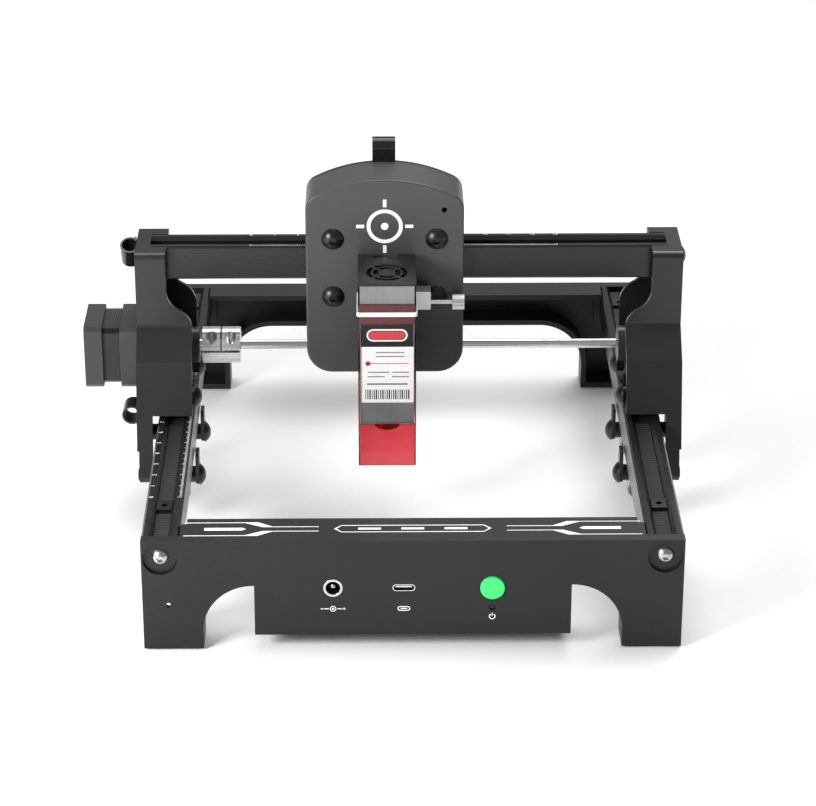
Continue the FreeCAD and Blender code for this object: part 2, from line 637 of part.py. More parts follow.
def x_wheel_set():
    """Bolts, spacers and nuts of the carriage; the heads are on its front face."""
    bolts = []
    spacers = []
    nuts = []
    back = V(0, 1, 0)
    bore = AXLE_DIAMETER + 2 * RUNNING_GAP
    front_face = CARRIAGE_Y + CARRIAGE_WALL
    near = BEAM_Y - WHEEL_WIDTH / 2 - WHEEL_SIDE_GAP
    far = BEAM_Y + WHEEL_WIDTH / 2 + WHEEL_SIDE_GAP
    plate = CARRIAGE_BACK - CARRIAGE_WALL
    for x, z in X_WHEELS:
        bolts.append(button_screw(V(x, CARRIAGE_Y, z), back, BOLT_HEAD, BOLT_HEAD_HEIGHT, AXLE_DIAMETER,
                                  CARRIAGE_BACK + NUT_HEIGHT - CARRIAGE_Y, BOLT_SOCKET))
        spacers.append(tube(V(x, front_face, z), back, SPACER_DIAMETER, bore, near - front_face))
        spacers.append(tube(V(x, far, z), back, SPACER_DIAMETER, bore, plate - far))
        nuts.append(nut(V(x, CARRIAGE_BACK, z), back))
    return bolts, spacers, nuts


# ---- side bracket -------------------------------------------------------------------------
def bracket_profile(wall):
    """Side outline of a bracket; with a wall it is the hollow's, open at the toe, sole and heel."""
    corners = [(FRONT_Y, BEAM_TOP), (FRONT_Y, SHELF_TOP_Z), (SHELF_FRONT_Y, SHELF_BOTTOM_Z), (TOE_Y, TOE_Z),
               (SOLE_Y, SOLE_Z), (HEEL_Y, SOLE_Z), (BACK_Y, HEEL_Z), (BACK_Y, BEAM_TOP)]
    insets = [wall, wall, wall, -wall, -wall, -wall, wall, wall]
    lines = []
    for (y0, z0), (y1, z1), inset in zip(corners, corners[1:] + corners[:1], insets):
        length = math.hypot(y1 - y0, z1 - z0)
        normal = (-(z1 - z0) / length, (y1 - y0) / length)
        lines.append((normal, normal[0] * y0 + normal[1] * z0 + inset))
    moved = []
    for (a, p), (b, q) in zip(lines[-1:] + lines[:-1], lines):
        det = a[0] * b[1] - a[1] * b[0]
        moved.append(((p * b[1] - q * a[1]) / det, (a[0] * q - b[0] * p) / det))
    return moved


def inner_edge_cut():
    """What is cut away inside the bracket's S-shaped inner edge, seen from the front."""
    y = TOE_Y - 10
    deep = BACK_Y + 10 - y
    rise = CURVE_TOP_Z - CURVE_BOTTOM_Z
    run = CAP_INNER - FLANGE_INNER
    middle = V(FLANGE_INNER + run / 2, y, CURVE_BOTTOM_Z + rise / 2)
    low = V(FLANGE_INNER, y, CURVE_BOTTOM_Z)
    high = V(CAP_INNER, y, CURVE_TOP_Z)
    chord = (high - low).Length / 2
    radius = chord / (2 * math.sin(math.atan2(run, rise)))
    bow = radius - math.sqrt(radius ** 2 - (chord / 2) ** 2)
    along = (high - low).normalize()
    across = V(along.z, 0, -along.x)
    low_arc = Part.Arc(low, (low + middle) * 0.5 - across * bow, middle)
    high_arc = Part.Arc(middle, (high + middle) * 0.5 + across * bow, high)
    far = FLANGE_INNER - 20
    top = BEAM_TOP + 10
    points = [high, V(CAP_INNER, y, top), V(far, y, top), V(far, y, SOLE_Z - 10), V(LEG_INNER, y, SOLE_Z - 10),
              V(LEG_INNER, y, SLEEVE_BOTTOM), V(FLANGE_INNER, y, SLEEVE_BOTTOM), low]
    edges = [low_arc.toShape(), high_arc.toShape()]
    edges += [Part.LineSegment(a, b).toShape() for a, b in zip(points, points[1:])]
    return Part.Face(Part.Wire(Part.__sortEdges__(edges))).extrude(V(0, deep, 0))


def side_bracket():
    """Right bracket: a channel of sheet with its outer web, front and back flanges and top cap."""
    start = FLANGE_INNER - 1
    outside = [V(start, y, z) for y, z in bracket_profile(0)]
    body = prism(outside, V(BRACKET_OUTER - start, 0, 0))
    bends = [(FRONT_Y, BEAM_TOP), (FRONT_Y, SHELF_TOP_Z), (SHELF_FRONT_Y, SHELF_BOTTOM_Z), (BACK_Y, BEAM_TOP),
             (BACK_Y, HEEL_Z), (HEEL_Y, SOLE_Z), (SOLE_Y, SOLE_Z), (TOE_Y, TOE_Z)]

    def at_bend(edge):
        middle = edge.CenterOfMass
        return edge_along(edge, V(1, 0, 0)) and any(
            math.hypot(middle.y - y, middle.z - z) < 0.01 for y, z in bends)

    body = fillet_where(body, BEND_RADIUS, at_bend)
    inside = [V(start - 1, y, z) for y, z in bracket_profile(BRACKET_WALL)]
    body = body.cut(prism(inside, V(BRACKET_OUTER - BRACKET_WALL - start + 1, 0, 0)))
    block = box(BEAM_HALF, BRACKET_OUTER - BRACKET_WALL, BEAM_FRONT - 3, BEAM_FRONT + SLOT_BAR + 3,
                BEAM_Z - SLOT_BAR / 2 - 3, BEAM_TOP)
    body = body.fuse(block).removeSplitter()
    half = SLOT_BAR / 2 + RUNNING_GAP
    tools = [inner_edge_cut(),
             box(start - 1, BEAM_HALF, BEAM_Y - half, BEAM_Y + half, BEAM_Z - half, BEAM_TOP + 1),
             box(start - 1, RAIL_X + WHEEL_WIDTH, BACK_Y - 5, BACK_Y + 1, SLEEVE_BOTTOM - 1, BACK_FLANGE_BOTTOM),
             box(BRACKET_OUTER - ANKLE_STEP, BRACKET_OUTER + 1, TOE_Y - 5, BACK_Y + 5, SOLE_Z - 1, ANKLE_Z)]
    for y, z, diameter, width in Y_WHEELS:
        tools.append(rod_x(BRACKET_OUTER - 5, BRACKET_OUTER + 1, y, z, AXLE_DIAMETER + 2 * RUNNING_GAP))
    return cut(body, tools)


def left_bracket():
    """Left bracket: the mirror image, bored for the motor."""
    bracket = mirrored(side_bracket())
    outer = -BRACKET_OUTER
    bores = [rod_x(outer - 1, outer + 5, SHAFT_Y, SHAFT_Z, MOTOR_PILOT + 2 * RUNNING_GAP),
             rod_x(outer - 1, -BEAM_HALF + 1, BEAM_Y, BEAM_Z, RAIL_SCREW + 4 * RUNNING_GAP),
             rod_x(outer - 1, outer + RAIL_SCREW_HEAD_HEIGHT, BEAM_Y, BEAM_Z, RAIL_SCREW_HEAD + 0.4)]
    return cut(bracket, bores)


def right_bracket():
    """Right bracket, bored for the shaft bearing."""
    bores = [rod_x(BRACKET_OUTER - 5, BRACKET_OUTER + 1, SHAFT_Y, SHAFT_Z, 11.0),
             rod_x(BEAM_HALF - 1, BRACKET_OUTER + 1, BEAM_Y, BEAM_Z, RAIL_SCREW + 4 * RUNNING_GAP)]
    return cut(side_bracket(), bores)


def shaft_bearing():
    """Flanged bearing in the right bracket."""
    sleeve = rod_x(BRACKET_OUTER - BRACKET_WALL, BRACKET_OUTER + 0.5, SHAFT_Y, SHAFT_Z, 11.0 - 2 * RUNNING_GAP)
    flange = rod_x(BRACKET_OUTER - BRACKET_WALL - 1.0, BRACKET_OUTER - BRACKET_WALL, SHAFT_Y, SHAFT_Z, 13.0)
    bore = rod_x(BRACKET_OUTER - 10, BRACKET_OUTER + 5, SHAFT_Y, SHAFT_Z, CROSS_SHAFT + 2 * RUNNING_GAP)
    return sleeve.fuse(flange).cut(bore)


def beam_end_screws():
    """One screw into each end of the beam; the left one lies sunk under the cable clip."""
    sunk = V(-BRACKET_OUTER + RAIL_SCREW_HEAD_HEIGHT, BEAM_Y, BEAM_Z)
    proud = V(BRACKET_OUTER, BEAM_Y, BEAM_Z)
    return [button_screw(sunk, V(1, 0, 0), RAIL_SCREW_HEAD, RAIL_SCREW_HEAD_HEIGHT, RAIL_SCREW,
                         RAIL_SCREW_LENGTH + 6, BOLT_SOCKET),
            button_screw(proud, V(-1, 0, 0), BOLT_HEAD, BOLT_HEAD_HEIGHT, RAIL_SCREW,
                         RAIL_SCREW_LENGTH + 6, BOLT_SOCKET)]


# ---- motors -------------------------------------------------------------------------------
def motor(shaft):
    """A square stepper motor along +Z from its mounting face: two caps and a laminated stack."""
    half = MOTOR_SIDE / 2

    def block(side, z0, z1):
        s = side / 2
        square = box(-s, s, -s, s, z0, z1)
        return square.makeChamfer(MOTOR_CHAMFER, [e for e in square.Edges if edge_along(e, V(0, 0, 1))])

    stack_side = MOTOR_SIDE - 2 * MOTOR_STACK_INSET
    body = [block(MOTOR_SIDE, 0, MOTOR_CAP), block(stack_side, MOTOR_CAP, MOTOR_LENGTH - MOTOR_CAP),
            block(MOTOR_SIDE, MOTOR_LENGTH - MOTOR_CAP, MOTOR_LENGTH)]
    pilot = Part.makeCylinder(MOTOR_PILOT / 2, MOTOR_PILOT_HEIGHT + half / 4, V(0, 0, -MOTOR_PILOT_HEIGHT))
    solid = join(body + [pilot])
    pitch = (MOTOR_LENGTH - 2 * MOTOR_CAP) / SHEET_GROOVES
    grooves = []
    for i in range(SHEET_GROOVES):
        low = MOTOR_CAP + (i + 0.25) * pitch
        ring = block(stack_side + 1, low, low + pitch / 2)
        grooves.append(ring.cut(block(stack_side - 0.8, low - 1, low + pitch)))
    bore = Part.makeCylinder(shaft / 2 + RUNNING_GAP, MOTOR_LENGTH + 4, V(0, 0, -MOTOR_PILOT_HEIGHT - 1))
    return cut(solid, grooves + [bore])


def y_motor():
    """The motor outside the left bracket, its face on the web."""
    body = motor(MOTOR_SHAFT)
    body.Placement = FreeCAD.Placement(V(-BRACKET_OUTER, SHAFT_Y, SHAFT_Z),
                                       FreeCAD.Rotation(V(0, 1, 0), -90))
    return body


def x_motor():
    """The motor behind the carriage, its face on the back plate."""
    body = motor(MOTOR_SHAFT)
    body.Placement = FreeCAD.Placement(V(CARRIAGE_X, CARRIAGE_BACK, X_PULLEY_Z),
                                       FreeCAD.Rotation(V(1, 0, 0), -90))
    return body


# ---- drive line ---------------------------------------------------------------------------
def toothed_pulley(hub_length):
    """A belt pulley along +Z: plain hub, toothed rim, thin end flange."""
    rim_end = PULLEY_LENGTH - 1.0
    body = join([Part.makeCylinder(PULLEY_HUB / 2, hub_length),
                 Part.makeCylinder(PULLEY_RADIUS, rim_end - hub_length, V(0, 0, hub_length)),
                 Part.makeCylinder(PULLEY_HUB / 2, PULLEY_LENGTH - rim_end, V(0, 0, rim_end))])
    grooves = []
    for i in range(TOOTH_GROOVES):
        angle = 2 * math.pi * i / TOOTH_GROOVES
        centre = V(PULLEY_RADIUS * math.cos(angle), PULLEY_RADIUS * math.sin(angle), hub_length)
        grooves.append(Part.makeCylinder(0.5, rim_end - hub_length, centre))
    return cut(body, grooves)


def y_pulley(side, bore):
    """A drive pulley over one rail, its hub towards the middle of the machine."""
    pulley = toothed_pulley(PULLEY_HUB_LENGTH).cut(
        Part.makeCylinder(bore / 2 + RUNNING_GAP, PULLEY_LENGTH))
    start = RAIL_X - (PULLEY_HUB_LENGTH + PULLEY_LENGTH - 1.0) / 2
    pulley.Placement = FreeCAD.Placement(V(side * start, SHAFT_Y, SHAFT_Z),
                                         FreeCAD.Rotation(V(0, 1, 0), 90 * side))
    return pulley


def coupling():
    """Clamp coupling: bore for both shafts, a long slit, a cross cut and two screw pockets."""
    x0 = -COUPLING_END - COUPLING_LENGTH
    middle = -COUPLING_END - COUPLING_LENGTH / 2
    body = rod_x(x0, -COUPLING_END, SHAFT_Y, SHAFT_Z, COUPLING_DIAMETER)
    radius = COUPLING_DIAMETER / 2
    tools = [rod_x(x0, middle, SHAFT_Y, SHAFT_Z, MOTOR_SHAFT + 2 * RUNNING_GAP),
             rod_x(middle, -COUPLING_END, SHAFT_Y, SHAFT_Z, CROSS_SHAFT + 2 * RUNNING_GAP),
             box(x0, -COUPLING_END, SHAFT_Y - radius, SHAFT_Y, SHAFT_Z - 0.4, SHAFT_Z + 0.4),
             box(middle - 0.4, middle + 0.4, SHAFT_Y - radius, SHAFT_Y + radius / 2, SHAFT_Z, SHAFT_Z + radius)]
    for offset in (-COUPLING_LENGTH / 4, COUPLING_LENGTH / 4):
        x = middle + offset
        y = SHAFT_Y - radius * 0.62
        tools.append(rod_z(x, y, SHAFT_Z + radius * 0.3, SHAFT_Z + radius, 4.6))
    return cut(body, tools)


def motor_shaft():
    """The left motor's shaft, through its pulley and half the coupling."""
    return rod_x(-BRACKET_OUTER - MOTOR_LENGTH + 1, -COUPLING_END - COUPLING_LENGTH / 2 - 0.2, SHAFT_Y, SHAFT_Z,
                 MOTOR_SHAFT)


def cross_shaft():
    """The rod from the coupling to the right-hand bearing."""
    return rod_x(-COUPLING_END - COUPLING_LENGTH / 2 + 0.2, BRACKET_OUTER, SHAFT_Y, SHAFT_Z, CROSS_SHAFT)


def x_pulley():
    """The carriage motor's shaft with its pulley, as the motor's one turning piece."""
    shaft = rod_y(CARRIAGE_X, BEAM_Y - 5, CARRIAGE_BACK + MOTOR_LENGTH - 1, X_PULLEY_Z, MOTOR_SHAFT)
    rim = rod_y(CARRIAGE_X, BEAM_Y - 4, BEAM_Y + 4, X_PULLEY_Z, PULLEY_TEETH)
    grooves = []
    for i in range(TOOTH_GROOVES):
        angle = 2 * math.pi * i / TOOTH_GROOVES
        grooves.append(rod_y(CARRIAGE_X + PULLEY_RADIUS * math.cos(angle), BEAM_Y - 3.2, BEAM_Y + 3.2,
                             X_PULLEY_Z + PULLEY_RADIUS * math.sin(angle), 1.0))
    return cut(rim.fuse(shaft), grooves)


# ---- carriage -----------------------------------------------------------------------------
def carriage_outline(inset, bottom, y):
    """Front outline of the carriage: crowned top, round shoulders and, low down, round corners."""
    half = CARRIAGE_HALF - inset
    crown = CROWN_RADIUS - inset
    centre_z = CARRIAGE_TOP - CROWN_RADIUS
    shoulder = SHOULDER_RADIUS - inset
    shoulder_x = CARRIAGE_HALF - SHOULDER_RADIUS
    reach = CROWN_RADIUS - SHOULDER_RADIUS
    shoulder_z = centre_z + math.sqrt(reach ** 2 - shoulder_x ** 2)
    lean = math.atan2(shoulder_x, shoulder_z - centre_z)
    corner = max(LOWER_CORNER - inset, 0.5)
    edges = []
    for side in (-1, 1):
        x = CARRIAGE_X + side * half
        touch = V(CARRIAGE_X + side * crown * math.sin(lean), y, centre_z + crown * math.cos(lean))
        mid = lean + (math.pi / 2 - lean) / 2
        bend = V(CARRIAGE_X + side * (shoulder_x + shoulder * math.sin(mid)), y,
                 shoulder_z + shoulder * math.cos(mid))
        fall = V(x, y, shoulder_z)
        low = V(x, y, bottom + corner)
        turn = V(x - side * corner * (1 - math.sqrt(0.5)), y, bottom + corner * (1 - math.sqrt(0.5)))
        foot = V(x - side * corner, y, bottom)
        edges += [Part.Arc(touch, bend, fall), Part.LineSegment(fall, low), Part.Arc(low, turn, foot)]
        if side < 0:
            first, first_foot = touch, foot
    edges.append(Part.Arc(first, V(CARRIAGE_X, y, CARRIAGE_TOP - inset), touch))
    edges.append(Part.LineSegment(first_foot, foot))
    return Part.Face(Part.Wire(Part.__sortEdges__([edge.toShape() for edge in edges])))


def axle_holes(y0, y1):
    """Clearance holes for the carriage's four wheel bolts."""
    return [rod_y(x, y0, y1, z, AXLE_DIAMETER + 4 * RUNNING_GAP) for x, z in X_WHEELS]


def carriage_housing():
    """Front plate with a crowned hood that reaches back over the beam."""
    plate = carriage_outline(0, CARRIAGE_BOTTOM, CARRIAGE_Y).extrude(V(0, CARRIAGE_WALL, 0))
    plate = fillet_where(plate, 0.8, lambda e: e.BoundBox.YMax < CARRIAGE_Y + 0.01)
    deep = CARRIAGE_BACK - CARRIAGE_WALL - CARRIAGE_Y - CARRIAGE_WALL
    start = CARRIAGE_Y + CARRIAGE_WALL
    hood = carriage_outline(0, CHEEK_BOTTOM - 20, start).extrude(V(0, deep, 0))
    hood = hood.cut(carriage_outline(CARRIAGE_WALL, CHEEK_BOTTOM - 30, start).extrude(V(0, deep, 0)))
    wide = CARRIAGE_HALF + 5
    hood = hood.cut(box(CARRIAGE_X - wide, CARRIAGE_X + wide, start - 1, CARRIAGE_BACK, CHEEK_BOTTOM - 40,
                        CHEEK_BOTTOM))
    holes = axle_holes(CARRIAGE_Y - 1, start + 1)
    holes.append(rod_y(CARRIAGE_X + SIGHT_HOLE[0], CARRIAGE_Y - 1, start + 1, SIGHT_HOLE[1], SIGHT_HOLE_DIAMETER))
    return cut(join([plate, hood]), holes)


def carriage_back_plate():
    """Back plate that closes the hood and carries the motor."""
    plate = carriage_outline(0, BACK_PLATE_BOTTOM, CARRIAGE_BACK - CARRIAGE_WALL)
    plate = plate.extrude(V(0, CARRIAGE_WALL, 0))
    holes = axle_holes(CARRIAGE_BACK - CARRIAGE_WALL - 1, CARRIAGE_BACK + 1)
    holes.append(rod_y(CARRIAGE_X, CARRIAGE_BACK - CARRIAGE_WALL - 1, CARRIAGE_BACK + 1, X_PULLEY_Z,
                       MOTOR_PILOT + 2 * RUNNING_GAP))
    return cut(plate, holes)


def dovetail(width, neck, y0, y1, z0, z1):
    """A dovetail bar, narrow at its root on the carriage."""
    points = [V(LASER_X - width / 2, y0, z0), V(LASER_X + width / 2, y0, z0),
              V(LASER_X + neck / 2, y1, z0), V(LASER_X - neck / 2, y1, z0)]
    return prism(points, V(0, 0, z1 - z0))


def focus_rail():
    """The upright dovetail on the carriage that the laser module slides on."""
    plate = box(LASER_X - 10, LASER_X + 10, SLIDER_BACK + SLIDE_GAP, CARRIAGE_Y, 74, 112)
    tail = dovetail(DOVETAIL_WIDTH, DOVETAIL_NECK, SLIDER_BACK - 3.0, SLIDER_BACK + SLIDE_GAP + 0.01, 74, 112)
    return join([plate, tail])


def module_slider():
    """The block behind the module, grooved to fit the dovetail."""
    start = MODULE_FRONT + MODULE_DEPTH
    body = box(LASER_X - FAN_COVER_WIDTH / 2, LASER_X + FAN_COVER_WIDTH / 2, start, SLIDER_BACK, SLIDER_BOTTOM,
               COVER_TOP)
    groove = dovetail(DOVETAIL_WIDTH + 3 * SLIDE_GAP, DOVETAIL_NECK + 3 * SLIDE_GAP, SLIDER_BACK - 3.0 - SLIDE_GAP,
                      SLIDER_BACK + SLIDE_GAP, SLIDER_BOTTOM - 1, COVER_TOP - 0.0)
    thread = rod_x(LASER_X, LASER_X + 20, THUMB_Y, THUMB_Z, THUMB_SCREW + 2 * RUNNING_GAP)
    return cut(body, [groove, thread])


def clamp_block():
    """The bright block at the slider's side, drilled for the thumb screw."""
    wide, deep, tall = CLAMP_BLOCK
    x0 = LASER_X + FAN_COVER_WIDTH / 2
    back = SLIDER_BACK - 0.2
    block = rounded_block(x0, x0 + wide, back - deep, back, CLAMP_BLOCK_Z, CLAMP_BLOCK_Z + tall, 0.5, V(1, 0, 0))
    return block.cut(rod_x(x0 - 1, x0 + wide + 1, THUMB_Y, THUMB_Z, THUMB_SCREW + 2 * RUNNING_GAP))


def thumb_screw():
    """Knurled knob on a thin screw."""
    knob_left = THUMB_KNOB_RIGHT - THUMB_KNOB_LENGTH
    knob = rod_x(knob_left, THUMB_KNOB_RIGHT, THUMB_Y, THUMB_Z, THUMB_KNOB)
    flutes = []
    for i in range(18):
        angle = 2 * math.pi * i / 18
        flutes.append(rod_x(knob_left - 1, THUMB_KNOB_RIGHT + 1, THUMB_Y + THUMB_KNOB / 2 * math.cos(angle),
                            THUMB_Z + THUMB_KNOB / 2 * math.sin(angle), 0.5))
    stem = rod_x(LASER_X + DOVETAIL_WIDTH / 2 + 2.4, knob_left, THUMB_Y, THUMB_Z, THUMB_SCREW)
    return cut(knob, flutes).fuse(stem)


# ---- laser module -------------------------------------------------------------------------
def module_body():
    """Metal heat sink: flat front, finned flanks, a pocket for the fan and a bore for the beam."""
    half = MODULE_WIDTH / 2
    back = MODULE_FRONT + MODULE_DEPTH
    body = box(LASER_X - half, LASER_X + half, MODULE_FRONT, back, MODULE_BOTTOM, MODULE_TOP)
    tools = [rod_z(LASER_X, FAN_Y, MODULE_TOP - FAN_POCKET, MODULE_TOP + 1, FAN_OPENING),
             rod_z(LASER_X, FAN_Y, MODULE_BOTTOM - 1, MODULE_BOTTOM + 12, 6.0)]
    pitch = (MODULE_DEPTH - 4.0) / FIN_COUNT
    for i in range(FIN_COUNT):
        y = MODULE_FRONT + 3.0 + i * pitch
        for side in (-1, 1):
            x0, x1 = sorted((LASER_X + side * (half - FIN_DEPTH / 2), LASER_X + side * (half + 1)))
            tools.append(box(x0, x1, y, y + FIN_SLOT, MODULE_BOTTOM - 1, MODULE_TOP - FAN_POCKET - 1))
    return cut(body, tools)


def fan_cover():
    """Thin cover over the fan with a ring grille."""
    half = FAN_COVER_WIDTH / 2
    front = FAN_Y - half
    back = MODULE_FRONT + MODULE_DEPTH - RUNNING_GAP
    plate = box(LASER_X - half, LASER_X + half, front, back, MODULE_TOP, COVER_TOP)
    opening = rod_z(LASER_X, FAN_Y, MODULE_TOP - 1, COVER_TOP + 1, FAN_OPENING)
    bars = [tube(V(LASER_X, FAN_Y, MODULE_TOP), V(0, 0, 1), FAN_OPENING * 0.78, FAN_OPENING * 0.68,
                 FAN_COVER_HEIGHT),
            rod_z(LASER_X, FAN_Y, MODULE_TOP, COVER_TOP, FAN_HUB * 0.8)]
    for turn in range(4):
        arm = box(-0.6, 0.6, 0, FAN_OPENING / 2 + 0.3, MODULE_TOP, COVER_TOP)
        arm.Placement = FreeCAD.Placement(V(LASER_X, FAN_Y, 0), FreeCAD.Rotation(V(0, 0, 1), 45 + 90 * turn))
        bars.append(arm)
    return join([plate.cut(opening)] + bars)


def fan_rotor():
    """Fan hub with swept blades."""
    low = MODULE_TOP - FAN_POCKET + 1.0
    high = MODULE_TOP - 0.6
    hub = rod_z(LASER_X, FAN_Y, low, high, FAN_HUB)
    blades = [hub]
    reach = FAN_OPENING / 2 - 0.5
    for i in range(FAN_BLADES):
        blade = box(FAN_HUB / 2 - 0.5, reach, -0.4, 0.4, 0, high - low - 0.6)
        blade.rotate(V(0, 0, 0), V(1, 0, 0), 28)
        blade = blade.common(Part.makeCylinder(reach, high - low - 1.0, V(0, 0, 0.2)))
        blade.Placement = FreeCAD.Placement(V(LASER_X, FAN_Y, low + 0.3),
                                            FreeCAD.Rotation(V(0, 0, 1), 360 * i / FAN_BLADES)).multiply(
                                                blade.Placement)
        blades.append(blade)
    return join(blades)


def laser_nozzle():
    """Turned lens holder under the module."""
    low = MODULE_BOTTOM - NOZZLE_LENGTH
    body = rod_z(LASER_X, FAN_Y, low, MODULE_BOTTOM, NOZZLE_DIAMETER)
    body = fillet_where(body, 0.8, lambda e: e.BoundBox.ZMax < low + 0.01)
    return body.cut(rod_z(LASER_X, FAN_Y, low - 1, MODULE_BOTTOM - 1.5, 5.0))


def acrylic_shield():
    """Three-sided sleeve with a window in front and a plain front below the module."""
    inner = SHIELD_HALF - SHIELD_WALL
    outside = box(LASER_X - SHIELD_HALF, LASER_X + SHIELD_HALF, SHIELD_FRONT, SHIELD_BACK, SHIELD_BOTTOM, SHIELD_TOP)
    outside = fillet_where(outside, 0.8, lambda e: edge_along(e, V(0, 0, 1)) and e.BoundBox.YMax < SHIELD_FRONT + 1)
    hollow = box(LASER_X - inner, LASER_X + inner, SHIELD_FRONT + SHIELD_WALL, SHIELD_BACK + 1, SHIELD_BOTTOM - 1,
                 SHIELD_TOP + 1)
    window = box(LASER_X - inner, LASER_X + inner, SHIELD_FRONT - 1, SHIELD_FRONT + SHIELD_WALL + 1, MODULE_BOTTOM,
                 SHIELD_WINDOW_TOP)
    return cut(outside, [hollow, window])


def shield_band():
    """Silicone band round the shield's collar."""
    inner = SHIELD_HALF
    outer = SHIELD_HALF + BAND_PROUD
    z0 = BAND_Z - BAND_HEIGHT / 2
    z1 = BAND_Z + BAND_HEIGHT / 2
    ring = box(LASER_X - outer, LASER_X + outer, SHIELD_FRONT - BAND_PROUD, SHIELD_BACK, z0, z1)
    ring = fillet_where(ring, 0.8 + BAND_PROUD,
                        lambda e: edge_along(e, V(0, 0, 1)) and e.BoundBox.YMax < SHIELD_FRONT)
    core = box(LASER_X - inner, LASER_X + inner, SHIELD_FRONT, SHIELD_BACK + 1, z0 - 1, z1 + 1)
    core = fillet_where(core, 0.8, lambda e: edge_along(e, V(0, 0, 1)) and e.BoundBox.YMax < SHIELD_FRONT + 1)
    return ring.cut(core)


# ---- cable clips --------------------------------------------------------------------------
def cable_clip():
    """A loop of strip along +Y, open where it meets the plane X = 0, with two short feet there."""
    radius = CLIP_DIAMETER / 2
    half = CLIP_LENGTH / 2
    loop = tube(V(-CLIP_REACH, -half, 0), V(0, 1, 0), CLIP_DIAMETER, CLIP_DIAMETER - 2 * CLIP_WALL, CLIP_LENGTH)
    loop = loop.cut(box(0, radius, -half - 1, half + 1, -radius, radius))
    rim = math.sqrt(radius ** 2 - CLIP_REACH ** 2)
    feet = [box(-CLIP_WALL, 0, -half, half, z, z + 2.2) for z in (rim - 1.0, -rim - 1.2)]
    return join([loop] + feet)


def hood_clip():
    """The same loop closed, on a tail that runs down the carriage's back plate."""
    radius = CLIP_DIAMETER / 2
    half = CLIP_LENGTH / 2
    loop = tube(V(-radius, -half, 0), V(0, 1, 0), CLIP_DIAMETER, CLIP_DIAMETER - 2 * CLIP_WALL, CLIP_LENGTH)
    tail = box(-CLIP_WALL, 0, -half, half, -radius - 6.0, 0)
    mouth = box(-radius - 0.9, -radius + 0.9, -half - 1, half + 1, radius - CLIP_WALL - 0.6, radius + 1)
    return join([loop, tail]).cut(mouth)


def placed(clip, place, axis, angle):
    """A clip turned about one axis, then moved to its place."""
    clip.rotate(V(0, 0, 0), axis, angle)
    clip.translate(place)
    return clip


# ---- the pieces ---------------------------------------------------------------------------
keep("front_panel", front_panel())
keep("electronics_cover", electronics_cover())
keep("rear_panel", rear_panel())
keep("rail_left", rail(-RAIL_X))
keep("rail_right", rail(RAIL_X))
keep("rail_end_screws", *rail_end_screws())
keep("foot_pads", *foot_pads())
keep("control_board", control_board())
keep("dc_jack", dc_jack())
keep("usb_port", usb_port())
keep("y_belts", belt_strip_y(-RAIL_X), belt_strip_y(RAIL_X))
keep("y_belt_clamps", *belt_clamps())
keep("power_button", power_button())
keep("side_bracket_left", left_bracket())
keep("side_bracket_right", right_bracket())
keep("beam", cross_beam())
keep("beam_end_screws", *beam_end_screws())
keep("y_motor", y_motor())
keep("shaft_bearing", shaft_bearing())
LEFT_SET = y_wheel_set(-1)
RIGHT_SET = y_wheel_set(1)
keep("y_wheel_bolts", *(LEFT_SET[0] + RIGHT_SET[0]))
keep("y_wheel_spacers", *(LEFT_SET[1] + RIGHT_SET[1]))
keep("y_wheel_lugs", *(LEFT_SET[2] + RIGHT_SET[2]))
keep("y_belt_loops", belt_loop_y(-RAIL_X), belt_loop_y(RAIL_X))
keep("x_belt", belt_strip_x())
keep("side_cable_clips",
     placed(cable_clip(), V(-BRACKET_OUTER, SIDE_CLIPS[0][0], SIDE_CLIPS[0][1]), V(1, 0, 0), 0),
     placed(cable_clip(), V(-BRACKET_OUTER, SIDE_CLIPS[1][0], SIDE_CLIPS[1][1]), V(1, 0, 0), -60))
keep("motor_shaft", motor_shaft())
keep("cross_shaft", cross_shaft())
keep("shaft_coupling", coupling())
keep("y_pulleys", y_pulley(-1, MOTOR_SHAFT), y_pulley(1, CROSS_SHAFT))
for side_name, side_sign in (("left", -1), ("right", 1)):
    for spot, (wheel_y, wheel_z, across, wide) in zip(
            ("upper_front", "upper_rear", "lower_front", "lower_rear"), Y_WHEELS):
        keep("y_wheel_%s_%s" % (side_name, spot),
             v_wheel(V(side_sign * RAIL_X, wheel_y, wheel_z), V(1, 0, 0), across, wide))
keep("carriage_housing", carriage_housing())
keep("carriage_back_plate", carriage_back_plate())
X_SET = x_wheel_set()
keep("x_wheel_bolts", *X_SET[0])
keep("x_wheel_spacers", *X_SET[1])
keep("x_wheel_nuts", *X_SET[2])
keep("x_motor", x_motor())
keep("x_pulley", x_pulley())
keep("x_belt_loop", belt_loop_x())
for spot, (wheel_x, wheel_z) in zip(("left_upper", "left_lower", "right_upper", "right_lower"), X_WHEELS):
    keep("x_wheel_%s" % spot, v_wheel(V(wheel_x, BEAM_Y, wheel_z), V(0, 1, 0), WHEEL_DIAMETER, WHEEL_WIDTH))
keep("focus_rail", focus_rail())
keep("carriage_cable_clip",
     placed(hood_clip(), V(CARRIAGE_X - 0.2, CARRIAGE_BACK, CARRIAGE_TOP + 4.6), V(0, 0, 1), -90))
keep("module_slider", module_slider())
keep("module_body", module_body())
keep("fan_cover", fan_cover())
keep("fan_rotor", fan_rotor())
keep("laser_nozzle", laser_nozzle())
keep("clamp_block", clamp_block())
keep("thumb_screw", thumb_screw())
keep("acrylic_shield", acrylic_shield())
keep("shield_band", shield_band())

# ---- origin under the middle of the whole machine -----------------------------------------
WHOLE = Part.makeCompound(list(PIECES.values())).BoundBox
ORIGIN = V((WHOLE.XMin + WHOLE.XMax) / 2, (WHOLE.YMin + WHOLE.YMax) / 2, 0)

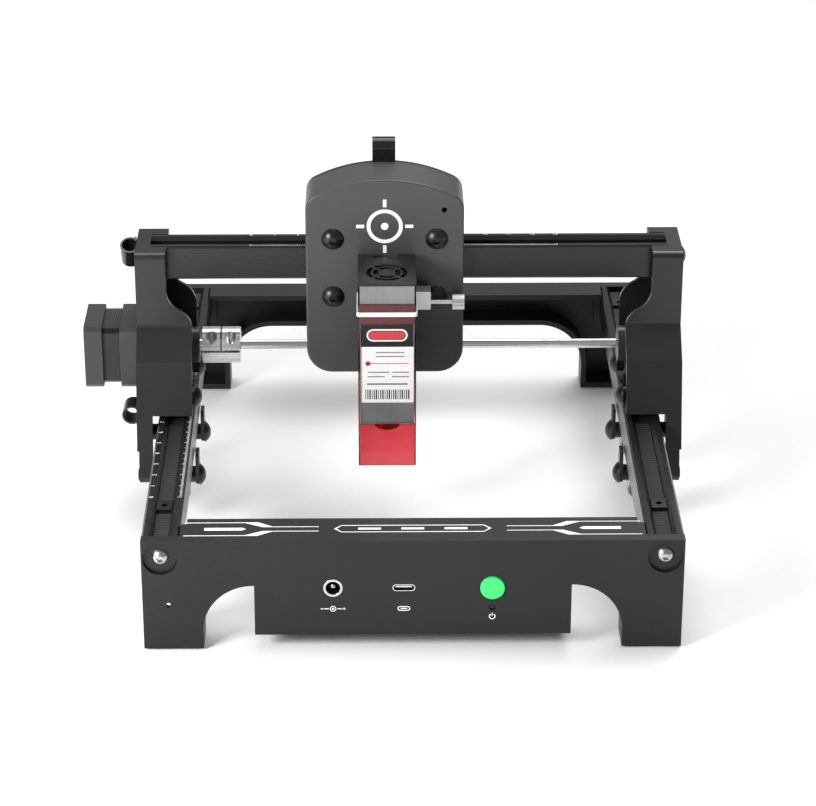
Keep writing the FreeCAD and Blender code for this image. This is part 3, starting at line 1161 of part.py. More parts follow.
os.makedirs("parts", exist_ok=True)
for node, piece in PIECES.items():
    moved_piece = piece.copy()
    moved_piece.translate(-ORIGIN)
    moved_piece.exportStep("parts/%s.step" % node)
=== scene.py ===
import json
import math

import bmesh
import bpy
from mathutils import Matrix, Vector

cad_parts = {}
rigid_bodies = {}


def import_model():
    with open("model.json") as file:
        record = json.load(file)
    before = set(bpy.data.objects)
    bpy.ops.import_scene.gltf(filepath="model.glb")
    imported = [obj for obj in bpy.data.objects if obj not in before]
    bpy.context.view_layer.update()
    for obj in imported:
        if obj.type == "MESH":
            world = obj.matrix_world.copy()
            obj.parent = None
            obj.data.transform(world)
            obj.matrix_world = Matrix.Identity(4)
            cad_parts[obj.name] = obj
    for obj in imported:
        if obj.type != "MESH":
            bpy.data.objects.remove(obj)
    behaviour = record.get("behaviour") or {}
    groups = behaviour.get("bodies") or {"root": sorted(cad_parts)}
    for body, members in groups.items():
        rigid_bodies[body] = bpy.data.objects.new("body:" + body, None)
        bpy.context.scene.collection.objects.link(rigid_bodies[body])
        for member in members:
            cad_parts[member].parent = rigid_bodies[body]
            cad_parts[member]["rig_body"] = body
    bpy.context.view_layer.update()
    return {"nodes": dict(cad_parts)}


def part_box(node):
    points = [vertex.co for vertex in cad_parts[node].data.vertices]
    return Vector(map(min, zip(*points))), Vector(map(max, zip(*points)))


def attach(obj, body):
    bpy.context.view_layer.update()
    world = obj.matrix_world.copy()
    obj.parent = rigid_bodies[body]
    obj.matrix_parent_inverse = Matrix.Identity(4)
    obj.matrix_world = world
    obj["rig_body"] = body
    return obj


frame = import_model()


# ---- viewpoint -----------------------------------------------------------------------------
# A long lens in front of the machine, a little left of its middle and well above it,
# so that the tops of the rails and the front panel both show.
EYE = Vector((-0.00506, -1.13082, 0.57728))
DOWN = math.radians(25.123)
TURN = math.radians(0.752)
TILT = math.radians(0.091)
FOCAL_MM = 127.93

forward = Vector((math.sin(TURN) * math.cos(DOWN), math.cos(TURN) * math.cos(DOWN), -math.sin(DOWN)))
level = Vector((math.cos(TURN), -math.sin(TURN), 0.0))
upright = level.cross(forward)
across = math.cos(TILT) * level + math.sin(TILT) * upright
upward = math.cos(TILT) * upright - math.sin(TILT) * level
camera_data = bpy.data.cameras.new("camera")
camera_data.lens = FOCAL_MM
camera_data.sensor_width = 36.0
camera_data.clip_start = 0.05
camera_data.clip_end = 40.0
camera = bpy.data.objects.new("camera", camera_data)
camera.matrix_world = Matrix((
    (across.x, upward.x, -forward.x, EYE.x),
    (across.y, upward.y, -forward.y, EYE.y),
    (across.z, upward.z, -forward.z, EYE.z),
    (0.0, 0.0, 0.0, 1.0)))
bpy.context.scene.collection.objects.link(camera)
bpy.context.scene.camera = camera


# ---- table and studio light ----------------------------------------------------------------
# A matt white laminate table in a pale room, under a broad ceiling light. One soft box stands close
# on the left, so that black faces grow darker to the right, and a weak one behind picks out edges.
MM = 0.001
TABLE_SIZE = 24.0
TABLE_WHITE = "#f7f7f7"
TABLE_WARM = "#f2f2f1"
ROOM_STRENGTH = 0.34
CEILING_STRENGTH = 2.1
CEILING_SPREAD = 0.9
CEILING_LEAN = (-0.35, 0.1, 0.0)


def linear(code):
    """An sRGB hex colour as linear red, green, blue and alpha."""
    parts = [int(code[i:i + 2], 16) / 255 for i in (1, 3, 5)]
    return tuple(c / 12.92 if c <= 0.04045 else ((c + 0.055) / 1.055) ** 2.4 for c in parts) + (1.0,)


def add(tree, kind, settings=None, values=None, links=None):
    """One node with its settings, its fixed inputs and the outputs that feed it."""
    made = tree.nodes.new(kind)
    for name, value in (settings or {}).items():
        setattr(made, name, value)
    for socket, value in (values or {}).items():
        made.inputs[socket].default_value = value
    for socket, source in (links or {}).items():
        tree.links.new(source, made.inputs[socket])
    return made


def finish(name, low, high, rough, grain, dent, stretch=(1.0, 1.0, 1.0), smudge=22.0, metal=0.0):
    """A finish whose colour wanders between two shades and whose roughness between two values.

    grain is the size of its fine texture and dent how deep that is, both in millimetres. stretch
    draws the texture out along an axis, and smudge is the size of the broad, faint patches.
    """
    material = bpy.data.materials.new(name)
    material.use_nodes = True
    tree = material.node_tree
    shader = tree.nodes["Principled BSDF"]
    place = add(tree, "ShaderNodeTexCoord").outputs["Object"]
    drawn = add(tree, "ShaderNodeVectorMath", {"operation": "MULTIPLY"}, {1: stretch}, {0: place}).outputs[0]
    fine = add(tree, "ShaderNodeTexNoise", {}, {"Scale": 1000 / grain, "Detail": 3.0},
               {"Vector": drawn}).outputs[0]
    broad = add(tree, "ShaderNodeTexNoise", {}, {"Scale": 1000 / smudge, "Detail": 2.0},
                {"Vector": place}).outputs[0]
    both = add(tree, "ShaderNodeMath", {"operation": "ADD"}, {}, {0: fine, 1: broad}).outputs[0]
    shade = add(tree, "ShaderNodeMapRange", {}, {"From Min": 0.7, "From Max": 1.3},
                {"Value": both}).outputs[0]
    colour = add(tree, "ShaderNodeMix", {"data_type": "RGBA"}, {6: linear(low), 7: linear(high)},
                 {0: shade}).outputs[2]
    gloss = add(tree, "ShaderNodeMapRange", {}, {"From Min": 0.7, "From Max": 1.3, "To Min": rough[0],
                                                  "To Max": rough[1]}, {"Value": both}).outputs[0]
    relief = add(tree, "ShaderNodeBump", {}, {"Strength": 1.0, "Distance": dent * MM}, {"Height": fine})
    tree.links.new(colour, shader.inputs["Base Color"])
    tree.links.new(gloss, shader.inputs["Roughness"])
    tree.links.new(relief.outputs[0], shader.inputs["Normal"])
    shader.inputs["Metallic"].default_value = metal
    return {"material": material, "tree": tree, "shader": shader, "place": place, "colour": colour,
            "relief": relief}


def shell(name, verts, faces, material):
    """A mesh object with its faces turned outwards."""
    mesh = bpy.data.meshes.new(name)
    mesh.from_pydata([tuple(v) for v in verts], [], faces)
    work = bmesh.new()
    work.from_mesh(mesh)
    bmesh.ops.recalc_face_normals(work, faces=work.faces)
    work.to_mesh(mesh)
    work.free()
    mesh.materials.append(material)
    piece = bpy.data.objects.new(name, mesh)
    bpy.context.scene.collection.objects.link(piece)
    return piece


# white laminate: even and matt, with a faint pebble that keeps it from looking like paper
laminate = finish("white_laminate", TABLE_WARM, TABLE_WHITE, (0.6, 0.7), 1.5, 0.002, smudge=300.0)
half = TABLE_SIZE / 2
table = shell("table", [(-half, -half, 0), (half, -half, 0), (half, half, 0), (-half, half, 0)],
              [(0, 1, 2, 3)], laminate["material"])

world = bpy.data.worlds.new("studio")
world.use_nodes = True
world.node_tree.nodes["Background"].inputs["Color"].default_value = linear("#ffffff")
world.node_tree.nodes["Background"].inputs["Strength"].default_value = ROOM_STRENGTH
bpy.context.scene.world = world
bpy.context.scene.view_settings.view_transform = "Standard"

ceiling_data = bpy.data.lights.new("ceiling_light", "SUN")
ceiling_data.energy = CEILING_STRENGTH
ceiling_data.angle = CEILING_SPREAD
ceiling = bpy.data.objects.new("ceiling_light", ceiling_data)
ceiling.rotation_euler = CEILING_LEAN
bpy.context.scene.collection.objects.link(ceiling)

for name, place, aim, size, power in (
        ("soft_box_left", (-0.48, -0.46, 0.36), (-0.05, -0.1, 0.04), 0.26, 6.0),
        ("soft_box_back", (0.5, 1.3, 1.5), (0.0, 0.0, 0.05), 0.7, 6.0)):
    lamp_data = bpy.data.lights.new(name, "AREA")
    lamp_data.shape = "SQUARE"
    lamp_data.size = size
    lamp_data.energy = power
    lamp = bpy.data.objects.new(name, lamp_data)
    lamp.location = place
    lamp.rotation_mode = "QUATERNION"
    lamp.rotation_quaternion = (Vector(aim) - Vector(place)).to_track_quat("-Z", "Y")
    lamp.visible_camera = False
    bpy.context.scene.collection.objects.link(lamp)


# ---- front and rear panels, electronics cover ----------------------------------------------
# Folded steel trays that close the frame at both ends, powder coated satin black. The front one
# is deeper between its arches, where the electronics are, and a flat cover shuts that box.
COAT_DARK = "#171718"
COAT_LIGHT = "#1f1f20"
COATING_IOR = 1.38           # a thin, matt coat reflects less than bare plastic


def dress(look, *names):
    """Gives CAD nodes a material in place of their plain one."""
    for name in names:
        slots = frame["nodes"][name].data.materials
        for i in range(len(slots)):
            slots[i] = look["material"]


# powder coat on steel: satin, with the slight orange peel of a baked powder (0.7 mm ripple)
powder_coat = finish("powder_coated_steel", COAT_DARK, COAT_LIGHT, (0.36, 0.44), 0.7, 0.006, smudge=45.0)
powder_coat["shader"].inputs["IOR"].default_value = COATING_IOR
dress(powder_coat, "front_panel", "rear_panel", "electronics_cover")


# ---- printing on the front panel -----------------------------------------------------------
# Screen printed white ink: rules and bars along the top flange, a plain long lozenge between
# them, and a picture beside each fitting to say what it is for. The film is 0.04 mm thick.
INK = "#f6f6f4"
INK_WORN = "#e6e6e3"
FILM = 0.04
RULE = 0.45
OUTER_RULE = (3.3, 14.2)     # from the flange's back edge
INNER_RULE = (6.9, 10.6)
LOZENGE = (31.0, 3.0, 0.5)

# epoxy ink: flat white, a touch rough where the mesh of the screen left it
ink = finish("white_screen_ink", INK_WORN, INK, (0.5, 0.65), 0.5, 0.004)


def printed(name, shapes, origin, right, up, body, look, film=FILM):
    """Flat shapes in millimetres on a face: a thin film. A shape is an outline, or two as a ring."""
    out = right.cross(up)
    verts, faces = [], []
    for shape in shapes:
        loops = shape if isinstance(shape, tuple) else (shape,)
        count = len(loops[0])
        first = len(verts)
        for height in (-0.2 * film, film):
            for loop in loops:
                verts += [origin + MM * (right * u + up * v + out * height) for u, v in loop]
        top = first + count * len(loops)
        for start in range(0, count * len(loops), count):
            for i in range(count):
                j = (i + 1) % count
                faces.append((first + start + i, first + start + j, top + start + j, top + start + i))
        if len(loops) == 1:
            faces.append(tuple(range(top, top + count)))
            faces.append(tuple(range(first + count - 1, first - 1, -1)))
        else:
            for base in (first, top):
                for i in range(count):
                    j = (i + 1) % count
                    faces.append((base + i, base + j, base + count + j, base + count + i))
    piece = shell(name, verts, faces, look["material"])
    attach(piece, body)


def rounded(u, v, width, height, radius, steps=6):
    """A rectangle with round corners about a middle point."""
    points = []
    for corner, (su, sv) in enumerate(((1, 1), (-1, 1), (-1, -1), (1, -1))):
        for i in range(steps + 1):
            angle = math.pi / 2 * (corner + i / steps)
            points.append((u + su * (width / 2 - radius) + radius * math.cos(angle),
                           v + sv * (height / 2 - radius) + radius * math.sin(angle)))
    return points


def circle(u, v, radius, start=0.0, sweep=360.0, steps=32):
    """Points round a circle, or along part of it."""
    closed = 0 if sweep == 360.0 else 1
    return [(u + radius * math.cos(math.radians(start + sweep * i / steps)),
             v + radius * math.sin(math.radians(start + sweep * i / steps))) for i in range(steps + closed)]


def bar(u, v, width, height):
    """An upright rectangle about a middle point."""
    return [(u - width / 2, v - height / 2), (u + width / 2, v - height / 2),
            (u + width / 2, v + height / 2), (u - width / 2, v + height / 2)]


right, up, out_front = Vector((1, 0, 0)), Vector((0, 0, 1)), Vector((0, -1, 0))
depth = Vector((0, 1, 0))
panel_low, panel_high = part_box("front_panel")
flange_middle = Vector(((panel_low.x + panel_high.x) / 2, panel_high.y, panel_high.z))
mirror_line = -(OUTER_RULE[0] + OUTER_RULE[1] + RULE) / 2
flange_print = []
for side in (-1, 1):
    for flip in (0, 1):
        half_print = [
            [(90.0, -OUTER_RULE[0]), (66.0, -OUTER_RULE[0]), (66.0, -OUTER_RULE[0] - RULE),
             (90.0, -OUTER_RULE[0] - RULE)],
            [(66.0, -OUTER_RULE[0]), (61.0, -OUTER_RULE[0]), (54.5, -INNER_RULE[0] - RULE),
             (59.0, -INNER_RULE[0] - RULE), (66.0, -OUTER_RULE[0] - RULE)],
            [(55.2, -INNER_RULE[0]), (37.0, -INNER_RULE[0]), (37.0, -INNER_RULE[0] - RULE),
             (54.5, -INNER_RULE[0] - RULE)]]
        for outline in half_print:
            flange_print.append([(side * u, 2 * mirror_line - v if flip else v) for u, v in outline])
    flange_print.append([(side * u, mirror_line + v) for u, v in
                         ((82.0, 1.1), (67.0, 1.1), (65.6, 0.0), (67.0, -1.1), (82.0, -1.1))])
long, tall, stroke = LOZENGE
flange_print.append(tuple(
    [(long - inset, mirror_line), (long - tall, mirror_line + tall - inset / 2),
     (tall - long, mirror_line + tall - inset / 2), (inset - long, mirror_line),
     (tall - long, mirror_line - tall + inset / 2), (long - tall, mirror_line - tall + inset / 2)]
    for inset in (0.0, 2 * stroke)))
flange_print += [bar(u, mirror_line, 9.0, 1.6) for u in (-17.0, 0.0, 17.0)]
printed("flange_print", flange_print, flange_middle, right, depth, "base", ink)

button_low, button_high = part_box("power_button")
jack_low, jack_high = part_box("dc_jack")
port_low, port_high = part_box("usb_port")
button_x = (button_low.x + button_high.x) / 2
jack_x = (jack_low.x + jack_high.x) / 2
port_x = (port_low.x + port_high.x) / 2
fitting_z = (jack_low.z + jack_high.z) / 2
CAPTION_DROP = 9.2           # below the fittings
SWITCH_DROP = 12.9           # below the button and its lamp
jack_print = [(circle(0, 0, 1.25), circle(0, 0, 0.95)), circle(0, 0, 0.45), bar(-2.6, 0, 2.0, 0.35),
              bar(2.6, 0, 2.0, 0.35), bar(-4.4, 0, 1.0, 0.35), bar(4.4, 0, 1.0, 0.35), bar(4.4, 0, 0.35, 1.0)]
port_print = [(rounded(0, 0, 5.0, 2.0, 0.99), rounded(0, 0, 4.3, 1.3, 0.64)), bar(0, 0, 2.6, 0.35)]
arc_out, arc_in = circle(0, 0, 1.3, 125, 290), circle(0, 0, 0.95, 415, -290)
switch_print = [arc_out + arc_in, bar(0, 0.85, 0.35, 1.3)]
for name, shapes, x, drop in (("jack_print", jack_print, jack_x, CAPTION_DROP),
                              ("port_print", port_print, port_x, CAPTION_DROP),
                              ("switch_print", switch_print, button_x, SWITCH_DROP)):
    printed(name, shapes, Vector((x, panel_low.y, fitting_z - drop * MM)), right, up, "base", ink)


# ---- power socket, data port, button and lamp ----------------------------------------------
# The socket and the port stand behind the panel: a black barrel with a plated rim and pin, and
# a drawn steel shell. The button is green translucent plastic, with a small lamp under it.
RIM_OUTER = 3.9
RIM_INNER = 2.85
LAMP_RADIUS = 1.1
LAMP_DROP = 9.0


def turned(name, profile, start, axis, look, body, steps=48):
    """A round piece from an outline of (radius, distance along the axis) in millimetres."""
    spin = Vector(axis).to_track_quat("Z", "Y")
    verts, faces = [], []
    for i in range(steps):
        angle = 2 * math.pi * i / steps
        verts += [start + spin @ Vector((MM * r * math.cos(angle), MM * r * math.sin(angle), MM * h))
                  for r, h in profile]
    count = len(profile)
    for i in range(steps):
        j = (i + 1) % steps
        for k in range(count):
            n = (k + 1) % count
            faces.append((i * count + k, i * count + n, j * count + n, j * count + k))
    piece = shell(name, verts, faces, look["material"])
    for face in piece.data.polygons:
        face.use_smooth = True
    piece.data.set_sharp_from_angle(angle=math.radians(35))
    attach(piece, body)


# moulded ABS, spark finished: deep black with a soft sheen
black_abs = finish("black_abs", "#101010", "#181818", (0.34, 0.44), 0.4, 0.004)
# plated steel: bright, with the faint rings that turning leaves (0.2 mm feed, drawn at 0.4 mm)
bright_steel = finish("bright_steel", "#b9b9b8", "#d9d9d8", (0.16, 0.26), 0.4, 0.002, metal=1.0)
# tinted polypropylene: green, glowing a little, since the indicator behind it is on
green_cap = finish("green_polypropylene", "#22c95c", "#34dc70", (0.28, 0.36), 0.6, 0.002)
green_cap["shader"].inputs["Emission Color"].default_value = linear("#3ce07a")
green_cap["shader"].inputs["Emission Strength"].default_value = 0.12
green_cap["shader"].inputs["Coat Weight"].default_value = 0.3
# smoked polycarbonate: nearly black and glossy while its lamp is off
smoked_lens = finish("smoked_polycarbonate", "#050505", "#0a0a0a", (0.08, 0.14), 0.6, 0.001)
dress(black_abs, "dc_jack")
dress(bright_steel, "usb_port")
dress(green_cap, "power_button")

turned("jack_rim", [(RIM_INNER, -0.12), (RIM_INNER + 0.1, 0.0), (RIM_OUTER - 0.1, 0.0), (RIM_OUTER, -0.12),
                    (RIM_OUTER, -0.22), (RIM_INNER, -0.22)],
       Vector((jack_x, jack_low.y - 0.22 * MM, fitting_z)), out_front, bright_steel, "base")
turned("jack_pin", [(0.02, 0.55), (0.5, 0.45), (0.9, 0.1), (1.0, -0.4), (0.02, -0.4)],
       Vector((jack_x, jack_low.y + 1.2 * MM, fitting_z)), out_front, bright_steel, "base")
turned("lamp_lens", [(0.02, -0.3), (0.5, -0.35), (0.9, -0.5), (LAMP_RADIUS, -0.8), (LAMP_RADIUS, -2.4),
                     (0.02, -2.4)],
       Vector((button_x, panel_low.y, fitting_z - LAMP_DROP * MM)), out_front, smoked_lens, "base")


# ---- rails and cross beam ------------------------------------------------------------------
# Square slotted bars of drawn aluminium, anodised black, with a graduated scale printed on the
# left rail and on the beam: a tick for each millimetre and a number for each centimetre.
TICK = 0.22
TICK_LENGTHS = {0: 1.7, 5: 1.35}
TICK_SHORT = 0.95
DIGIT_HEIGHT = 1.75
SCALE_LAST = 130
NUMERALS = SCALE_LAST // 10 + 1
TICK_INSET = 0.9             # from the bar's edge to the start of its ticks
LIP_MIDDLE = 1.65            # from the bar's side to the middle of its lip
RAIL_ZERO = 33.73            # from the rail's front end
BEAM_ZERO = 42.4             # from the beam's left end


def bar_finish(name, stretch):
    """Anodised extrusion: satin black, with fine die lines (0.25 mm) along its length."""
    return finish(name, "#131314", "#1b1b1c", (0.20, 0.30), 0.25, 0.004, stretch=stretch, smudge=60.0)


rail_black = bar_finish("anodised_rail", (1.0, 0.03, 1.0))
beam_black = bar_finish("anodised_beam", (0.03, 1.0, 1.0))
dress(rail_black, "rail_left", "rail_right")
dress(beam_black, "beam")


def numbers(name, places, origin, right_way, up_way, body, look):
    """Plain numerals, each at its place in millimetres on a face."""
    out = right_way.cross(up_way)
    verts, faces = [], []
    for number, (u, v), (along, over) in places:
        text = bpy.data.curves.new(name, "FONT")
        text.body = str(number)
        text.size = DIGIT_HEIGHT * 1.35
        text.align_x = "CENTER"
        text.align_y = "CENTER"
        text.extrude = FILM * 0.6
        holder = bpy.data.objects.new(name, text)
        outline = bpy.data.meshes.new_from_object(holder)
        first = len(verts)
        for vertex in outline.vertices:
            x, y, z = vertex.co
            flat = right_way * (u + x * along[0] + y * over[0]) + up_way * (v + x * along[1] + y * over[1])
            verts.append(origin + MM * (flat + out * (z + FILM * 0.4)))
        faces += [tuple(first + i for i in face.vertices) for face in outline.polygons]
        bpy.data.objects.remove(holder)
        bpy.data.curves.remove(text)
        bpy.data.meshes.remove(outline)
    piece = shell(name, verts, faces, look["material"])
    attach(piece, body)


rail_low, rail_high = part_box("rail_left")
rail_start = Vector((rail_low.x, rail_low.y, rail_high.z))
width = (rail_high.x - rail_low.x) / MM
ticks = []
for mark in range(SCALE_LAST + 1):
    reach = TICK_LENGTHS.get(mark % 10, TICK_SHORT)
    ticks.append(bar(width - TICK_INSET - reach / 2, RAIL_ZERO + mark, reach, TICK))
printed("rail_ticks", ticks, rail_start, right, depth, "base", ink)
printed("rail_outer_ticks", [bar(0.95, RAIL_ZERO + 10 * i, 0.5, TICK) for i in range(NUMERALS)],
        rail_start, right, depth, "base", ink)
numbers("rail_numbers",
        [(i, (LIP_MIDDLE + 0.25, RAIL_ZERO + 10 * i), ((0, 1), (-1, 0))) for i in range(NUMERALS)],
        rail_start, right, depth, "base", ink)

beam_low, beam_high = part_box("beam")
beam_start = Vector((beam_low.x, beam_low.y, beam_high.z))
beam_width = (beam_high.y - beam_low.y) / MM
ticks = []
for mark in range(SCALE_LAST + 1):
    reach = TICK_LENGTHS.get(mark % 10, TICK_SHORT)
    ticks.append(bar(BEAM_ZERO + mark, TICK_INSET + reach / 2, TICK, reach))
printed("beam_ticks", ticks, beam_start, right, depth, "gantry", ink)
numbers("beam_numbers",
        [(i, (BEAM_ZERO + 10 * i, beam_width - LIP_MIDDLE), ((1, 0), (0, 1))) for i in range(NUMERALS)],
        beam_start, right, depth, "gantry", ink)


# ---- belts, their clamps and loops ---------------------------------------------------------
# Neoprene timing belts with glass cords, lying teeth up in the slots and clamped at the ends.
# The teeth are 2 mm apart, so the strips show a row of fine ribs.
TOOTH_PITCH = 2.0


def belt_finish(name, axis):
    """Neoprene: matt black, ribbed by its teeth across the given axis."""
    look = finish(name, "#090909", "#101010", (0.6, 0.75), 0.5, 0.01)
    tree = look["tree"]
    split = add(tree, "ShaderNodeSeparateXYZ", {}, {}, {0: look["place"]}).outputs[axis]
    turns = add(tree, "ShaderNodeMath", {"operation": "MULTIPLY"}, {1: 2 * math.pi / (TOOTH_PITCH * MM)},
                {0: split}).outputs[0]
    wave = add(tree, "ShaderNodeMath", {"operation": "SINE"}, {}, {0: turns}).outputs[0]
    ribs = add(tree, "ShaderNodeBump", {}, {"Strength": 0.6, "Distance": 0.25 * MM},
               {"Height": wave, "Normal": look["relief"].outputs[0]}).outputs[0]
    tree.links.new(ribs, look["shader"].inputs["Normal"])
    return look


belt_along_rail = belt_finish("belt_along_rail", 1)
belt_along_beam = belt_finish("belt_along_beam", 0)
belt_over_pulley = belt_finish("belt_over_pulley", 2)
dress(belt_along_rail, "y_belts")
dress(belt_along_beam, "x_belt")
dress(belt_over_pulley, "y_belt_loops", "x_belt_loop")


# ---- end screws, feet and hidden electronics -----------------------------------------------
# Plated button head screws hold the panels to the rail ends. The legs stand on thin rubber
# pads, and a green circuit board stands behind the fittings.
# zinc plated steel: bright and a little greyer than the shafts
screw_steel = finish("zinc_plated_steel", "#a8a8a8", "#c6c6c5", (0.22, 0.32), 0.5, 0.003, metal=1.0)
# rubber: dull black, dusty where it is handled
pad_rubber = finish("pad_rubber", "#1b1b1b", "#282827", (0.7, 0.85), 0.8, 0.02)
# solder mask on glass laminate: glossy green over faint copper tracks (1.3 mm apart)
board = finish("circuit_board", "#0f3f24", "#14502e", (0.2, 0.3), 1.0, 0.002)
tracks = add(board["tree"], "ShaderNodeTexBrick", {"offset": 0.35},
             {"Color1": linear("#0f4427"), "Color2": linear("#125030"), "Mortar": linear("#2a7d4b"),
              "Scale": 1000 / 2.6, "Mortar Size": 0.06}, {"Vector": board["place"]}).outputs[0]
board["tree"].links.new(tracks, board["shader"].inputs["Base Color"])
dress(screw_steel, "rail_end_screws")
dress(pad_rubber, "foot_pads")
dress(board, "control_board")


# ---- side brackets -------------------------------------------------------------------------
# Two bent aluminium brackets carry the beam and straddle the rails, bead blasted and anodised
# black. The narrow neck widens to a shelf, and a sleeve hangs over the rail.
# bead blasted and anodised: even satin black, grain of 0.3 mm drawn a little coarse to show
bracket_black = finish("anodised_bracket", "#161617", "#1e1e1f", (0.28, 0.35), 0.3, 0.004, smudge=38.0)
dress(bracket_black, "side_bracket_left", "side_bracket_right")
# black oxide on steel: nearly matt, slightly brown where oil has dried
black_oxide = finish("black_oxide_steel", "#090909", "#121111", (0.26, 0.38), 0.5, 0.006)
dress(black_oxide, "y_belt_clamps", "y_wheel_bolts", "y_wheel_spacers", "y_wheel_lugs", "beam_end_screws",
      "x_wheel_bolts", "x_wheel_spacers", "x_wheel_nuts")


# ---- stepper motors ------------------------------------------------------------------------
# Each motor has two die cast end caps round a stack of punched steel sheets, held by four long
# screws at the corners. The caps are painted, and the bare edges of the sheets show as lines.
CAP_LENGTH = 7.7
PILOT = 1.6
SHEET_PITCH = 0.42
SCREW_PITCH = 23.0
SCREW_HEAD = 2.6


def motor_finish(name, node, axis, toward_high):
    """Painted die casting, with sheet steel between the caps and a screw at each corner."""
    look = finish(name, "#262627", "#313132", (0.32, 0.42), 0.6, 0.008)
    tree = look["tree"]
    low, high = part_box(node)
    near = low[axis] + (0 if toward_high else PILOT * MM) + CAP_LENGTH * MM
    far = high[axis] - (PILOT * MM if toward_high else 0) - CAP_LENGTH * MM
    parts = add(tree, "ShaderNodeSeparateXYZ", {}, {}, {0: look["place"]})
    after = add(tree, "ShaderNodeMath", {"operation": "GREATER_THAN"}, {1: near},
                {0: parts.outputs[axis]}).outputs[0]
    before = add(tree, "ShaderNodeMath", {"operation": "LESS_THAN"}, {1: far},
                 {0: parts.outputs[axis]}).outputs[0]
    stack = add(tree, "ShaderNodeMath", {"operation": "MULTIPLY"}, {}, {0: after, 1: before}).outputs[0]
    turns = add(tree, "ShaderNodeMath", {"operation": "MULTIPLY"}, {1: 2 * math.pi / (SHEET_PITCH * MM)},
                {0: parts.outputs[axis]}).outputs[0]
    wave = add(tree, "ShaderNodeMath", {"operation": "SINE"}, {}, {0: turns}).outputs[0]
    edge = add(tree, "ShaderNodeMapRange", {}, {"From Min": -1.0, "From Max": 1.0},
               {"Value": wave}).outputs[0]
    sheets = add(tree, "ShaderNodeMix", {"data_type": "RGBA"}, {6: linear("#171717"), 7: linear("#444444")},
                 {0: edge}).outputs[2]
    body = add(tree, "ShaderNodeMix", {"data_type": "RGBA"}, {},
               {0: stack, 6: look["colour"], 7: sheets}).outputs[2]
    others = [i for i in range(3) if i != axis]
    distances = []
    for i in others:
        centred = add(tree, "ShaderNodeMath", {"operation": "SUBTRACT"}, {1: (low[i] + high[i]) / 2},
                      {0: parts.outputs[i]}).outputs[0]
        folded = add(tree, "ShaderNodeMath", {"operation": "ABSOLUTE"}, {}, {0: centred}).outputs[0]
        distances.append(add(tree, "ShaderNodeMath", {"operation": "SUBTRACT"}, {1: SCREW_PITCH / 2 * MM},
                             {0: folded}).outputs[0])
    flat = add(tree, "ShaderNodeCombineXYZ", {}, {}, {0: distances[0], 1: distances[1]}).outputs[0]
    away = add(tree, "ShaderNodeVectorMath", {"operation": "LENGTH"}, {}, {0: flat}).outputs["Value"]
    head = add(tree, "ShaderNodeMath", {"operation": "LESS_THAN"}, {1: SCREW_HEAD / 2 * MM},
               {0: away}).outputs[0]
    dark = add(tree, "ShaderNodeMix", {"data_type": "RGBA"}, {7: linear("#0c0c0c")},
               {0: head, 6: body}).outputs[2]
    tree.links.new(dark, look["shader"].inputs["Base Color"])
    ridge = add(tree, "ShaderNodeMath", {"operation": "MULTIPLY"}, {}, {0: stack, 1: edge}).outputs[0]
    ribbed = add(tree, "ShaderNodeBump", {}, {"Strength": 0.7, "Distance": 0.08 * MM},
                 {"Height": ridge, "Normal": look["relief"].outputs[0]}).outputs[0]
    tree.links.new(ribbed, look["shader"].inputs["Normal"])
    return look


dress(motor_finish("rail_motor_finish", "y_motor", 0, True), "y_motor")
dress(motor_finish("carriage_motor_finish", "x_motor", 1, False), "x_motor")


# ---- shafts, coupling, pulleys -------------------------------------------------------------
# A ground steel shaft runs across the gantry. A split aluminium coupling joins it to the motor,
# and toothed pulleys of anodised aluminium pull on the belts.
# ground steel: mirror bright, with a few fine lines round it
ground_steel = finish("ground_steel", "#cfcfce", "#e4e4e3", (0.10, 0.16), 0.6, 0.001,
                      stretch=(1.0, 0.05, 0.05), metal=1.0)
# turned aluminium: pale and softer than steel, with feed marks (0.2 mm)
turned_aluminium = finish("turned_aluminium", "#cbcbca", "#e0e0df", (0.24, 0.34), 0.2, 0.003,
                          stretch=(1.0, 0.06, 0.06), metal=1.0)
pulley_dark = finish("anodised_pulley", "#1d1d1e", "#2a2a2b", (0.3, 0.4), 0.3, 0.003)
dress(ground_steel, "motor_shaft", "cross_shaft")
dress(turned_aluminium, "shaft_coupling", "laser_nozzle")
# satin nickel: almost white, for the clamp and its screw
satin_nickel = finish("satin_nickel", "#e9e9e7", "#f4f4f2", (0.38, 0.48), 0.4, 0.002, metal=0.9)
dress(satin_nickel, "clamp_block", "thumb_screw")
dress(pulley_dark, "y_pulleys", "focus_rail", "module_slider")
dress(bright_steel, "x_pulley", "shaft_bearing")


# ---- wheels --------------------------------------------------------------------------------
# Bevelled wheels of black acetal run in the slots of the rails and the beam, each on a small
# ball bearing whose steel shield shows on both sides.
SHIELD_INNER = 3.7
SHIELD_PROUD = 0.1

